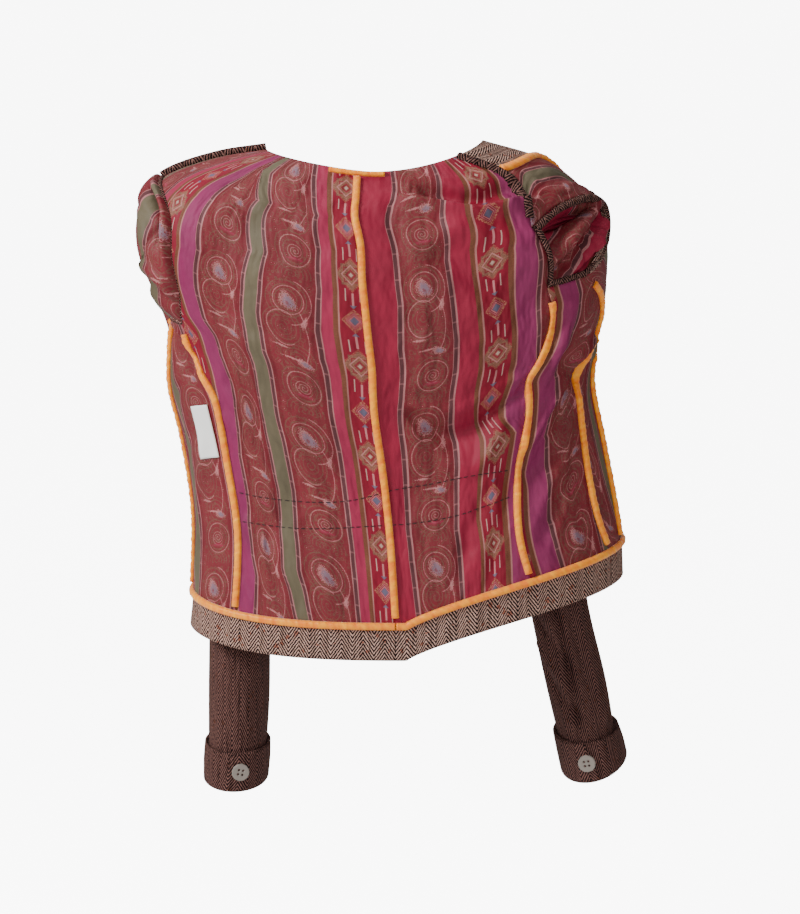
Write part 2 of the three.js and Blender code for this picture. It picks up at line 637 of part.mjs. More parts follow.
// Sleeves: each starts in its armhole, turns down inside the body and ends in a cuff
function sectionRing(section, thickness) {
  const ring = [];
  for (let j = 0; j < sleeveSides; j += 1) {
    const angle = (2 * Math.PI * j) / sleeveSides;
    ring.push(new THREE.Vector3(
      section.x + (section.halfX - thickness) * Math.sin(angle),
      section.y - (section.halfY - thickness) * Math.cos(angle),
      section.z + (section.tilt ?? 0) * Math.sin(angle) - (section.dip ?? 0) * Math.cos(angle)));
  }
  return ring;
}

// The armhole's mouth as a ring of points inside the panels' edges, deep mm below their outer face
function mouthRing(stations, shrink, deep) {
  const outline = stations.map((station) => surfacePoint(station.turn, station.ring, -deep));
  const curve = new THREE.CatmullRomCurve3(outline, true, 'centripetal');
  const ring = curve.getSpacedPoints(sleeveSides).slice(0, sleeveSides);
  const middle = ring.reduce((sum, point) => sum.add(point), new THREE.Vector3()).divideScalar(sleeveSides);
  return ring.map((point) => {
    const inwards = middle.clone().sub(point);
    return point.clone().addScaledVector(inwards, shrink / inwards.length());
  });
}

// Turns a ring's order so that its points run on from those of the ring before it
function lineUp(ring, before) {
  let best = null;
  for (const order of [ring, [...ring].reverse()]) {
    for (let shift = 0; shift < ring.length; shift += 1) {
      const turned = order.map((_, j) => order[(j + shift) % ring.length]);
      const cost = turned.reduce((sum, point, j) => sum + point.distanceToSquared(before[j]), 0);
      if (best === null || cost < best.cost) best = { turned, cost };
    }
  }
  return best.turned;
}

// A hollow tube open at both ends, from rings of outer points and rings of inner points
function addTube(name, outerRings, innerRings, look) {
  return addSweep(name, [...outerRings, ...[...innerRings].reverse()], look, true);
}

function smoothSections(sections, steps) {
  const list = [];
  const last = sections.length - 1;
  for (let i = 0; i <= last * steps; i += 1) {
    const value = (key) => smoothRow(sections.map((row) => row[key] ?? 0), i / steps);
    const names = ['x', 'y', 'z', 'halfX', 'halfY', 'tilt', 'dip'];
    list.push(Object.fromEntries(names.map((key) => [key, value(key)])));
  }
  return list;
}

function buildSleeve(side) {
  const sections = smoothSections(sleeves[side], sectionSteps);
  const tubeRings = (thickness) => {
    const rings = sections.map((section) => sectionRing(section, thickness));
    const mouth = lineUp(mouthRing(mouths[side], mouthGap + thickness, mouthDepth), rings[0]);
    const funnel = [];
    for (let i = 0; i < mouthSteps; i += 1) {
      const f = i / mouthSteps;
      funnel.push(mouth.map((point, j) => point.clone().lerp(rings[0][j], f)));
    }
    return [...funnel, ...rings];
  };
  addTube(`sleeve_${side}`, tubeRings(0), tubeRings(sleeveWall), finish.tweed);

  const cuffRings = (thickness) => cuffs[side].map((section) => sectionRing(section, thickness));
  addTube(`cuff_${side}`, cuffRings(0), cuffRings(cuffWall), finish.tweed);
}

buildSleeve('left');
buildSleeve('right');

// A four-hole button on the side of the cuff that faces back
function addButton(side, cornerIndex) {
  const shape = new THREE.Shape();
  shape.absarc(0, 0, buttonRadius, 0, 2 * Math.PI, false);
  for (const across of [-1, 1]) {
    for (const up of [-1, 1]) {
      const hole = new THREE.Path();
      hole.absarc(across * holeSpacing, up * holeSpacing, holeRadius, 0, 2 * Math.PI, true);
      shape.holes.push(hole);
    }
  }
  const bevel = 0.6;
  const geometry = new THREE.ExtrudeGeometry(shape, {
    depth: buttonThickness - 2 * bevel, bevelEnabled: true, bevelThickness: bevel, bevelSize: bevel,
    bevelOffset: -bevel, bevelSegments: 1, curveSegments: 6,
  });
  geometry.translate(0, 0, bevel);
  const [top, middle, foot] = cuffs[side].map((section) => sectionRing(section, 0));
  const next = (cornerIndex + 1) % sleeveSides;
  const seat = middle[cornerIndex].clone().add(middle[next]).multiplyScalar(0.5);
  const across = middle[next].clone().sub(middle[cornerIndex]);
  const down = foot[cornerIndex].clone().sub(top[cornerIndex]);
  const normal = across.cross(down).normalize();
  if (normal.y > 0) normal.negate();
  const buttonGap = 0.8;
  const mesh = new THREE.Mesh(geometry, new THREE.MeshStandardMaterial({ ...finish.pearl, metalness: 0 }));
  mesh.name = `button_${side}`;
  mesh.quaternion.setFromUnitVectors(new THREE.Vector3(0, 0, 1), normal);
  mesh.position.copy(seat).addScaledVector(normal, buttonGap);
  group.add(mesh);
}

addButton('left', 0);
addButton('right', sleeveSides - 1);

export default group;
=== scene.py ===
import math
import bpy
import bmesh
import numpy as np
from mathutils import Matrix, Vector


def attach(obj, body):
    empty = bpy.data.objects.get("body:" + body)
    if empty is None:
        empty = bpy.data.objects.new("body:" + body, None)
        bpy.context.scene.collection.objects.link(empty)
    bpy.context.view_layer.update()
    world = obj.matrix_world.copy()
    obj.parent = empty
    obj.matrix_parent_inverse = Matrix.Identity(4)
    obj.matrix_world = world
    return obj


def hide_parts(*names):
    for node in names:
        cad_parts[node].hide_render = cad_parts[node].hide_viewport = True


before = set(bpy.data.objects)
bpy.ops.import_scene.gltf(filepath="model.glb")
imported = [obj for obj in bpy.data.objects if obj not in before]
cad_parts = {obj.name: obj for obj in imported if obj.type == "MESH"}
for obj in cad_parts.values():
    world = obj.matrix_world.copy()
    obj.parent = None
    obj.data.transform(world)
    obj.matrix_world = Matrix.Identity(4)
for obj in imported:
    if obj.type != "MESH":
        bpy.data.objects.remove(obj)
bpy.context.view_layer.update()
print("frame loaded")

# Sizes, all in millimetres
garment = {
    "clothWall": 2.2,            # tweed and lining together
    "sectionPower": 2.33,        # 2 is an ellipse, more is squarer
    "millimetresPerDegree": 3.6,
    "millimetresPerRing": 42,
    "hemRing": 10,
    "hemFoot": 11,
    "fine": 5,                   # steps of the scene's mesh for one of the plain model
    "shoulderSteps": 8,
    "armholeSteps": 7,
    "seamSteps": 14,
    "neckSteps": 12,
    "facingShoulderSteps": 3,
    "sideColumns": 6,
    "hemSteps": 2,
}
mm = 0.001
stationScale = np.array([garment["millimetresPerDegree"], garment["millimetresPerRing"]])

# Rings round the garment, from the neck to the foot of the hem:
# left, zLeft, right, zRight, back, zBack, front, zFront, riseLeft, riseRight
rings = np.array([
    (-103, -4, 109, 5, 68, -24, 60, -75, 1.5, 2),
    (-153, -12, 166, -12, 88, -50, 78, -95, 2, 2),
    (-203, -30, 201, -35, 100, -71, 90, -110, 2, 2),
    (-227, -59, 228, -61, 107, -97, 100, -130, 2, 2),
    (-230, -97, 233, -104, 111, -130, 108, -155, 2, 2),
    (-217, -140, 230, -153, 112, -173, 115, -190, 2, 2),
    (-201, -185, 223, -189, 110, -211, 118, -225, 2, 2),
    (-200, -235, 219, -229, 105, -255, 118, -262, 2, 1.8),
    (-188, -289, 231, -288, 100, -318, 118, -318, 2.5, 1.6),
    (-178, -363, 243, -348, 108, -385, 124, -385, 3, 1.1),
    (-180, -443, 250, -391, 116, -459, 130, -440, 3.6, 0.8),
    (-183, -476, 252, -425, 119, -492, 132, -474, 3.6, 0.8),
])

# Seams as (turn, ring): turn in degrees round the body, 0 at the centre back, 90 at the right side
centreBack = [
    (-8.4, 0), (-7.4, 1), (-3.2, 2.2), (-2.2, 4), (-2.6, 6), (-1.6, 7), (-2.5, 8), (-3.6, 9), (-2.9, 10),
]
seams = {
    "left": {
        "neck": [(-8.4, 0), (-45.9, 0), (-86.8, 0)],
        "shoulder": [(-86.8, 0), (-86.8, 1), (-86.8, 2.1)],
        "armholeBack": [(-86.8, 2.1), (-61.7, 2.6), (-54.5, 3.1), (-53.6, 4), (-54.5, 4.8), (-59, 5.5)],
        "armholeFront": [(-86.8, 2.1), (-87.2, 2.6), (-78, 3.1), (-69, 3.7), (-67, 4.3), (-69, 4.9),
                         (-73.5, 5.5)],
        "princess": [(-59, 5.5), (-59, 6), (-52.8, 6.5), (-46.7, 7), (-47.2, 8), (-47.2, 9), (-48.2, 10)],
        "side": [(-72.1, 5.5), (-80.6, 6), (-81.8, 7), (-85.5, 8), (-88.2, 9), (-88.2, 10)],
        "facing": [(-86.8, 0.9), (-104, 1.35), (-110, 2.6), (-112, 5), (-113, 7), (-113, 9), (-113, 10),
                   (-113, 11)],
        "edge": [(-86.8, 0), (-120.2, 0.8), (-132.4, 2.4), (-137.6, 5), (-136.7, 7), (-136.7, 9),
                 (-136.7, 10), (-135.9, 11)],
    },
    "right": {
        "neck": [(-8.4, 0), (22.7, 0), (46.2, 0)],
        "shoulder": [(46.2, 0), (48.8, 0.75), (46.3, 1.6), (40.2, 2.83)],
        "armholeBack": [(40.2, 2.83), (41.1, 3.2), (42.8, 3.8), (43.6, 4.37)],
        "armholeFront": [(40.2, 2.83), (51, 2.42), (63.5, 2.34), (77.3, 2.5), (85.5, 2.95), (83, 3.5),
                         (73.2, 3.95), (59, 4.3)],
        "princess": [(43.6, 4.37), (46.4, 5), (45, 5.7), (40.7, 6.5), (39.8, 7.2), (33.7, 8), (30.2, 9),
                     (32.4, 10)],
        "side": [(59, 4.3), (73.2, 4.9), (77.3, 5.4), (69.2, 6.3), (63.5, 7), (59, 8), (58.5, 9),
                 (63.5, 10)],
        "facing": [(48.8, 0.75), (90, 1.05), (106.8, 2), (112.7, 3.2), (110.8, 4.6), (98.2, 6), (79.5, 7),
                   (77.3, 8.2), (77.3, 10), (78.4, 11)],
        "edge": [(46.2, 0), (90, 0.05), (120.2, 1), (129, 2.6), (130.7, 4.4), (123.7, 6), (114.6, 7.2),
                 (110.8, 8.4), (108.9, 10), (108.9, 11)],
    },
}


def bend(width, height, run, lap=1.0):
    # A fold: its width and its height out of the cloth, in mm, and its run as (turn, ring) points.
    # lap makes the side to the right of the run fall off more steeply, as where the cloth laps over.
    return {"width": width, "height": height, "run": run, "lap": lap}


folds = [
    # the largest, which the plain model has too
    bend(20, 9, [(22.7, 2.5), (40.7, 3.7)]),
    bend(20, -6, [(19.8, 3.3), (37.2, 4.7)]),
    bend(16, 7, [(49.3, 5.8), (24.6, 8)]),
    bend(15, -7, [(14.8, 7.5), (39, 6.6)]),
    bend(26, -7, [(-31.9, 2.6), (-37.2, 4.6)]),
    bend(11, -3, [(4.5, 1.2), (8.2, 5)]),
    bend(18, 2, [(-77.3, 3), (-81.8, 4.4)]),
    bend(13, -6, [(-58.1, 6.4), (-79.5, 5.7)]),
    bend(12, -5, [(67.3, 7), (52.8, 6.2)]),
]
creases = [
    # right back: the ledge's crisp edge, the drape and the waist
    bend(17, 9, [(44, 1.9), (38.2, 1.81), (34, 1.85), (29.5, 1.89), (26.8, 1.69), (19.5, 1.31), (12, 1)],
         lap=0.15),
    bend(13, -11, [(43, 1.3), (34, 1.38), (27.5, 1.26), (19, 0.8)]),
    bend(7, 2.5, [(40.4, 1.9), (40.2, 2.4), (39.8, 3)]),
    bend(5, -7, [(7.8, 7.01), (12.2, 7.29), (18.2, 7.48), (25.2, 7.34), (31.5, 7.09), (37.8, 6.86)]),
    bend(9, 4.5, [(36, 6.45), (29, 6.75), (20, 7.05), (12, 6.85)], lap=0.6),
    bend(7, 4, [(14, 7.8), (22, 7.9), (30, 7.5)]),
    bend(4, -3, [(22, 8.1), (28, 7.75), (34, 7.3)]),
    bend(6, -3, [(13, 9.6), (17, 8.9), (24, 8.3)]),
    bend(6, -3, [(26, 5.6), (30, 6.1), (36, 6.3)]),
    bend(7, -2.4, [(30, 8.3), (24, 9), (21, 9.8)]),
    bend(8, 1.8, [(26, 8.4), (20, 9.3)]),
    bend(5, 1.4, [(9.5, 2.2), (10.5, 5), (9, 7)]),
    bend(6, -1.4, [(5.5, 5.5), (3, 8.5)]),
    # left back
    bend(7, -1.6, [(-12, 2.5), (-14, 5.5), (-11, 7.4)]),
    bend(9, 1.8, [(-24, 5.2), (-22, 7.5), (-20, 9.5)]),
    bend(8, -2.2, [(-40, 4.9), (-33, 5.3), (-27, 5.2)]),
    bend(7, -2.5, [(-43, 8.6), (-37, 8.9), (-32, 8.6)]),
    bend(7, -2.5, [(-42, 6.6), (-34, 7), (-28, 7.5)]),
    bend(6, 2, [(-44, 7.3), (-36, 7.7), (-30, 8.2)]),
    bend(6, -1.8, [(-18, 8.9), (-12, 9.1), (-5, 8.9)]),
    bend(7, 1.5, [(-40, 9.1), (-30, 9.4)]),
    # left puff and side
    bend(5, -2.4, [(-60, 4.7), (-66, 5.3), (-74, 5.6)]),
    bend(4, 2.2, [(-57, 6.1), (-63, 5.8), (-71, 5.7)], lap=0.5),
    bend(7, -2.5, [(-60, 6.6), (-72, 7.2), (-80, 8.4)]),
    bend(7, 2.2, [(-56, 7.8), (-68, 8.6), (-76, 9.6)]),
    bend(6, -2, [(-62, 7.6), (-74, 8.2)]),
    # right side panel
    bend(6, 6.5, [(37.8, 7.75), (45, 7.35), (52.5, 7), (62, 6.4), (70.8, 5.94)], lap=0.35),
    bend(8, -6.5, [(36, 8.15), (46, 7.75), (54, 7.3), (66, 6.5)]),
    bend(5, 3, [(36, 8.95), (41, 8.46), (52, 7.94)], lap=0.5),
    bend(6, -3, [(37, 9.2), (45, 8.6), (52, 8.2)]),
    bend(8, -5, [(48, 5), (45, 5.9), (42.5, 6.6)]),
    bend(6, 3.5, [(54, 4.8), (50, 5.8), (46.5, 6.6)]),
    bend(7, 1.8, [(40, 9.2), (48, 8.6)]),
    # shoulders, fronts
    bend(8, -2.6, [(60, 1.4), (80, 1.8), (96, 2.6)]),
    bend(6, 2, [(58, 2), (72, 2), (84, 2.3)]),
    bend(10, -3, [(-92, 2.4), (-98, 4.4), (-96, 6.6)]),
    bend(9, 2.4, [(-100, 3), (-106, 6), (-104, 9)]),
    bend(8, -3, [(92, 4.4), (84, 5.8), (72, 6.8)]),
    bend(8, 2.4, [(98, 3.6), (94, 4.8), (84, 6.4)]),
    bend(8, 2, [(112, 1.8), (118, 3.4), (116, 5.4)]),
    bend(9, 2, [(-120, 2.2), (-124, 5), (-122, 8.4)]),
]


def smoothRows(table, position):
    # the table's rows at places between them, on a smooth curve
    last = len(table) - 1
    clamped = np.clip(position, 0, last)
    index = np.minimum(np.floor(clamped).astype(int), last - 1)
    f = (clamped - index)[..., None]
    longer = np.vstack([2 * table[0] - table[1], table, 2 * table[-1] - table[-2]])
    a, b, c, d = (longer[index + step] for step in range(4))
    square, cube = 2 * a - 5 * b + 4 * c - d, 3 * b - a - 3 * c + d
    return 0.5 * (2 * b + (c - a) * f + square * f ** 2 + cube * f ** 3)


def bodyPoints(stations):
    # points of the smooth garment surface, before its folds
    turn = np.radians(stations[..., 0])
    row = smoothRows(rings, stations[..., 1])
    left, zLeft, right, zRight, back, zBack, front, zFront, riseLeft, riseRight = np.moveaxis(row, -1, 0)
    across, along = np.sin(turn), np.cos(turn)
    power = garment["sectionPower"]
    reach = (np.abs(across) ** power + np.abs(along) ** power) ** (-1 / power)
    x = (left + right) / 2 + (right - left) / 2 * reach * across
    y = -np.where(along > 0, back, front) * reach * along
    rise = np.abs(across) ** np.where(along > 0, np.where(across > 0, riseRight, riseLeft), 2)
    z = np.where(across > 0, zRight, zLeft) * rise + np.where(along > 0, zBack, zFront) * (1 - rise)
    return np.stack([x, y, z], -1)


def foldHeights(stations, table):
    place = stations * stationScale
    total = np.zeros(stations.shape[:-1])
    for fold in table:
        run = np.array(fold["run"], float) * stationScale
        nearest = np.full(total.shape, 1e9)
        side = np.zeros(total.shape)
        for start, end in zip(run[:-1], run[1:]):
            leg = end - start
            away = place - start
            share = np.clip((away @ leg) / (leg @ leg), 0, 1)
            distance = np.linalg.norm(away - share[..., None] * leg, axis=-1)
            turnWay = leg[0] * away[..., 1] - leg[1] * away[..., 0]
            side = np.where(distance < nearest, turnWay, side)
            nearest = np.minimum(distance, nearest)
        width = np.where(side > 0, fold["width"] * fold["lap"], fold["width"])
        total += fold["height"] * np.exp(-(nearest / width) ** 2)
    return total


def bodyNormals(stations):
    stepTurn, stepRing = 0.5, 0.04
    low, high = stations.copy(), stations.copy()
    low[..., 1] = np.maximum(low[..., 1] - stepRing, 0)
    high[..., 1] = np.clip(high[..., 1] + stepRing, stepRing, garment["hemFoot"])
    low[..., 1] = np.minimum(low[..., 1], garment["hemFoot"] - stepRing)
    turned = np.array([stepTurn, 0])
    around = bodyPoints(stations + turned) - bodyPoints(stations - turned)
    down = bodyPoints(high) - bodyPoints(low)
    normal = np.cross(down, around)
    return normal / np.linalg.norm(normal, axis=-1, keepdims=True)


def surfacePoints(stations, lift=0.0):
    height = foldHeights(stations, folds) + foldHeights(stations, creases) + lift
    return bodyPoints(stations) + bodyNormals(stations) * height[..., None]


def lengthsAlong(points):
    return np.concatenate([[0], np.cumsum(np.linalg.norm(np.diff(points, axis=0), axis=1))])


def pointsAt(wanted, lengths, points):
    return np.stack([np.interp(wanted, lengths, points[:, axis]) for axis in range(points.shape[1])], -1)


def evenPoints(points, steps):
    # points evenly spaced along a line through the given ones
    lengths = lengthsAlong(points)
    return pointsAt(np.linspace(0, lengths[-1], steps + 1), lengths, points)


def smoothLine(points, perLeg=24):
    # centripetal Catmull-Rom curve through the points
    points = np.array(points, float)
    longer = np.vstack([2 * points[0] - points[1], points, 2 * points[-1] - points[-2]])
    line = [points[0]]
    for i in range(len(points) - 1):
        a, b, c, d = longer[i:i + 4]
        gaps = [max(np.linalg.norm(q - p) ** 0.5, 1e-4) for p, q in ((a, b), (b, c), (c, d))]
        slopeB = ((b - a) / gaps[0] - (c - a) / (gaps[0] + gaps[1]) + (c - b) / gaps[1]) * gaps[1]
        slopeC = ((c - b) / gaps[1] - (d - b) / (gaps[1] + gaps[2]) + (d - c) / gaps[2]) * gaps[1]
        for t in np.linspace(0, 1, perLeg + 1)[1:]:
            cube = (2 * b - 2 * c + slopeB + slopeC) * t ** 3
            square = (3 * c - 3 * b - 2 * slopeB - slopeC) * t ** 2
            line.append(b + slopeB * t + (cube + square))
    return np.array(line)


def stationsAlong(seam, steps):
    line = smoothLine(np.array(seam, float) * stationScale)
    return evenPoints(line, steps * garment["fine"]) / stationScale


def levelStations(fromTurn, toTurn, ring, steps):
    turns = np.linspace(fromTurn, toTurn, steps * garment["fine"] + 1)
    return np.stack([turns, np.full(turns.shape, float(ring))], -1)


def patchStations(start, end, top, foot):
    u = np.linspace(0, 1, len(top))[None, :, None]
    v = np.linspace(0, 1, len(start))[:, None, None]
    between = start[:, None] * (1 - u) + end[:, None] * u
    topBend = top[None] - (top[0] * (1 - u) + top[-1] * u)
    footBend = foot[None] - (foot[0] * (1 - u) + foot[-1] * u)
    return between + (1 - v) ** 2 * topBend + v ** 2 * footBend


def joined(*runs):
    return np.vstack([runs[0]] + [run[1:] for run in runs[1:]])


# Colours and shader helpers
colourDepth = 1.36
colourGain = 0.98
colourSockets = ("Dark", "Light", "Fleck", "Color")


def linear(red, green, blue):
    # scene colour of a screen colour from 0 to 255, deepened because the camera's look fades it
    parts = [value / 255 for value in (red, green, blue)]
    plain = [p / 12.92 if p < 0.04045 else ((p + 0.055) / 1.055) ** 2.4 for p in parts]
    return tuple(p ** colourDepth * colourGain for p in plain) + (1.0,)


def addNode(tree, kind, values=None, **settings):
    node = tree.nodes.new(kind)
    for name, value in settings.items():
        setattr(node, name, value)
    for key, value in (values or {}).items():
        if isinstance(value, bpy.types.NodeSocket):
            tree.links.new(value, node.inputs[key])
        else:
            node.inputs[key].default_value = value
    return node


def calc(tree, operation, *values):
    return addNode(tree, "ShaderNodeMath", dict(enumerate(values)), operation=operation).outputs[0]


def product(tree, *values):
    total = values[0]
    for value in values[1:]:
        total = calc(tree, "MULTIPLY", total, value)
    return total


def below(tree, value, limit):
    return calc(tree, "LESS_THAN", value, limit)


def over(tree, value, limit):
    return calc(tree, "GREATER_THAN", value, limit)


def band(tree, value, low, high):
    # 1 where the value lies between low and high
    return product(tree, over(tree, value, low), below(tree, value, high))


def blendColour(tree, share, first, second):
    return addNode(tree, "ShaderNodeMix", {0: share, 6: first, 7: second}, data_type="RGBA").outputs[2]


def addInk(tree, colour, ink, *masks):
    # one of the lining's colours laid over another where all the masks let it
    return blendColour(tree, product(tree, *masks), colour, colours[ink])


def addNoise(tree, place, scale, detail, distortion=0.0):
    values = {"Vector": place, "Scale": scale, "Detail": detail, "Distortion": distortion}
    return addNode(tree, "ShaderNodeTexNoise", values).outputs[0]


def addCells(tree, place, scale, output="Distance"):
    return addNode(tree, "ShaderNodeTexVoronoi", {"Vector": place, "Scale": scale}).outputs[output]


def spread(tree, value, low, high, toLow=0.0, toHigh=1.0, way="LINEAR"):
    values = {"Value": value, "From Min": low, "From Max": high, "To Min": toLow, "To Max": toHigh}
    return addNode(tree, "ShaderNodeMapRange", values, interpolation_type=way).outputs[0]


def addBump(tree, height, strength, distance, **under):
    values = {"Height": height, "Strength": strength, "Distance": distance, **under}
    return addNode(tree, "ShaderNodeBump", values).outputs[0]


def longPlace(tree, place, squeeze):
    # the map squeezed along the cloth, so that what is drawn on it comes out longer
    return addNode(tree, "ShaderNodeMapping", {"Vector": place, "Scale": (1.0, squeeze, 1.0)}).outputs[0]


def newGroup(name, inputs, outputs):
    tree = bpy.data.node_groups.new(name, "ShaderNodeTree")
    for direction, titles in (("INPUT", inputs), ("OUTPUT", outputs)):
        for title in titles:
            kind = "NodeSocketColor" if title in colourSockets else "NodeSocketFloat"
            tree.interface.new_socket(name=title, in_out=direction, socket_type=kind)
    return tree, tree.nodes.new("NodeGroupInput").outputs, tree.nodes.new("NodeGroupOutput").inputs


def useGroup(tree, group, values):
    return addNode(tree, "ShaderNodeGroup", values, node_tree=group).outputs


def newMaterial(name, constants):
    material = bpy.data.materials.new(name)
    material.use_nodes = True
    inputs = material.node_tree.nodes["Principled BSDF"].inputs
    for title, value in constants.items():
        inputs[title].default_value = value
    return material, material.node_tree, inputs


def plainMaterial(name, roughness, *screenColour):
    return newMaterial(name, {"Roughness": roughness, "Base Color": linear(*screenColour)})[0]


def clothPlace(tree):
    # the piece's own map, in millimetres across and down the cloth
    place = addNode(tree, "ShaderNodeUVMap", uv_map="cloth").outputs[0]
    parts = addNode(tree, "ShaderNodeSeparateXYZ", {0: place}).outputs
    return place, parts[0], parts[1]


# Tweed: sizes of the weave in mm, depth of its puckers in m
tweedLook = {
    "columnWidth": 10.5,
    "twillPitch": 4.2,
    "puckers": 0.012,
    "dark": linear(48, 30, 36),
    "light": linear(216, 184, 170),
    "flecks": linear(176, 104, 76),
    "fleckShare": 0.06,
}
# The sleeves, cuffs, flaps and seam edges get the same tweed made darker: painted shade.
shadedTweedLook = dict(tweedLook, dark=linear(52, 36, 38), light=linear(154, 120, 112), flecks=linear(140, 96, 76),
                  fleckShare=0.015)
weave = {
    "slant": 1.5,
    "waver": 1.6,
    "waverScale": 0.35,
    "yarn": 4.0,
    "yarnScale": 1.4,
    "fleckScale": 0.33,
    "fleckStrength": 0.8,
    "relief": 0.0006,
}


def herringboneGroup():
    tree, start, end = newGroup(
        "herringbone", ["Across", "Down", "Column", "Pitch", "Dark", "Light", "Fleck", "Fleck Share"],
        ["Color", "Height"])
    across, down = start["Across"], start["Down"]
    mapped = addNode(tree, "ShaderNodeCombineXYZ", {0: across, 1: down}).outputs[0]
    waver = calc(tree, "SUBTRACT", addNoise(tree, mapped, weave["waverScale"], 2.0), 0.5)
    shifted = calc(tree, "MULTIPLY_ADD", waver, weave["waver"], across)
    column = calc(tree, "PINGPONG", shifted, start["Column"])
    slanted = calc(tree, "DIVIDE", calc(tree, "MULTIPLY_ADD", column, weave["slant"], down), start["Pitch"])
    wave = calc(tree, "SINE", product(tree, slanted, 2 * math.pi))
    yarn = calc(tree, "SUBTRACT", addNoise(tree, mapped, weave["yarnScale"], 3.0), 0.5)
    uneven = calc(tree, "MULTIPLY_ADD", yarn, weave["yarn"], wave)
    ramp = spread(tree, uneven, -0.1, 0.85, way="SMOOTHSTEP")
    plain = blendColour(tree, ramp, start["Dark"], start["Light"])
    cells = addCells(tree, mapped, weave["fleckScale"], "Color")
    chance = addNode(tree, "ShaderNodeSeparateColor", {0: cells}).outputs[0]
    isFleck = over(tree, chance, calc(tree, "SUBTRACT", 1.0, start["Fleck Share"]))
    flecks = product(tree, isFleck, ramp, weave["fleckStrength"])
    tree.links.new(blendColour(tree, flecks, plain, start["Fleck"]), end["Color"])
    tree.links.new(ramp, end["Height"])
    return tree


herringbone = herringboneGroup()


def tweedMaterial(name, look):
    material, tree, inputs = newMaterial(name, {"Roughness": 0.95, "Specular IOR Level": 0.08})
    place, across, down = clothPlace(tree)
    cloth = useGroup(tree, herringbone, {
        "Across": across, "Down": down, "Column": look["columnWidth"], "Pitch": look["twillPitch"],
        "Dark": look["dark"], "Light": look["light"], "Fleck": look["flecks"],
        "Fleck Share": look["fleckShare"]})
    tree.links.new(cloth["Color"], inputs["Base Color"])
    soft = addNoise(tree, longPlace(tree, place, 0.16), 0.1, 2.0)
    puckers = addBump(tree, soft, 0.9, look["puckers"])
    tree.links.new(addBump(tree, cloth["Height"], 0.5, weave["relief"], Normal=puckers), inputs["Normal"])
    return material


tweed = tweedMaterial("herringbone tweed", tweedLook)
# the tweed darkened as painted shade, for the sleeves, cuffs, flaps and seam edges
shadedTweed = tweedMaterial("herringbone tweed, sleeve", shadedTweedLook)

# Lining
colours = {
    "crimson": linear(162, 50, 80),
    "pink": linear(168, 62, 94),
    "purple": linear(152, 64, 108),
    "sage": linear(122, 113, 94),
    "tan": linear(126, 80, 66),
    "ground": linear(140, 50, 66),
    "rose": linear(150, 34, 64),
    "line": linear(112, 70, 74),
    "pale": linear(204, 150, 150),
    "olive": linear(132, 102, 88),
    "blueGrey": linear(112, 118, 136),
    "cream": linear(206, 184, 174),
    "straw": linear(190, 146, 120),
    "edge": linear(128, 36, 54),
    "dots": linear(146, 104, 70),
}
# Stripes from left to right: what each is, its width in mm
stripes = [
    ("line", 6), ("pink", 10.5), ("tan", 6), ("motif", 27.5), ("tan", 6), ("purple", 20), ("line", 6),
    ("paisley", 46), ("line", 5), ("sage", 12), ("line", 5), ("paisley", 46),
    ("crimson", 37), ("line", 6), ("paisley", 45), ("line", 6), ("crimson", 20), ("tan", 6),
    ("motif", 28), ("tan", 7), ("purple", 22), ("line", 6), ("paisley", 46),
]
halfCount = 12
stripeTotal = sum(width for _, width in stripes)
halfTotal = sum(width for _, width in stripes[:halfCount])
grounds = {"motif": "rose", "paisley": "ground"}
classes = {"line": 0.25, "paisley": 0.5, "motif": 0.75, "tan": 1.0}
widthScale = 100.0   # half widths are kept in a colour channel, so in parts of this
# Sizes in mm, scales of the noises, share of light and dark, depths of bumps in m
liningLook = {
    "paisleyRepeat": 135.6,
    "motifRepeat": 88.6,
    "motifShift": 36.0,   # how far up the motifs of the left half lie
    "outline": 0.42,
    "edgeLine": 1.1,
    "markEvery": 25.0,
    "mark": 1.5,
    "speckleScale": 0.9,
    "toneScale": 0.02,
    "tone": (0.86, 1.1),
    "grainScale": 2.4,
    "grain": (0.9, 1.1),
    "relief": 0.0003,
    "crinkleScale": 0.055,
    "crinkles": 0.01,
}
farUp = 20   # repeats added before a remainder is taken, so that it's never of a number below 0


def stripeRamps(tree, across, first, last, offset, total):
    # two constant ramps over a run of stripes: their colour, and (centre, class, half width)
    share = calc(tree, "DIVIDE", calc(tree, "SUBTRACT", across, offset), total)
    results = []
    for layout in (False, True):
        node = addNode(tree, "ShaderNodeValToRGB", {0: share})
        ramp = node.color_ramp
        ramp.interpolation = "CONSTANT"
        edge = 0.0
        for number, (kind, width) in enumerate(stripes[first:last]):
            spot = ramp.elements[0] if number == 0 else ramp.elements.new(edge / total)
            spot.position = edge / total
            if layout:
                centre = (offset + edge + width / 2) / stripeTotal
                spot.color = (centre, classes.get(kind, 0.0), width / (2 * widthScale), 1.0)
            else:
                spot.color = colours[grounds.get(kind, kind)]
            edge += width
        if len(ramp.elements) > last - first:
            ramp.elements.remove(ramp.elements[-1])
        results.append(node.outputs[0])
    return results


def scrollGroup():
    # a spiral of fine lines inside an oval
    tree, start, end = newGroup(
        "scroll", ["X", "Y", "Centre X", "Centre Y", "Radius", "Squash", "Pitch"], ["Lines", "Distance"])
    x = calc(tree, "SUBTRACT", start["X"], start["Centre X"])
    y = product(tree, calc(tree, "SUBTRACT", start["Y"], start["Centre Y"]), start["Squash"])
    distance = calc(tree, "SQRT", calc(tree, "ADD", product(tree, x, x), product(tree, y, y)))
    angle = calc(tree, "DIVIDE", calc(tree, "ARCTAN2", y, x), 2 * math.pi)
    phase = calc(tree, "FRACT", calc(tree, "ADD", calc(tree, "DIVIDE", distance, start["Pitch"]), angle))
    lines = product(tree, below(tree, phase, 0.26), below(tree, distance, start["Radius"]))
    tree.links.new(lines, end["Lines"])
    tree.links.new(distance, end["Distance"])
    return tree


scroll = scrollGroup()
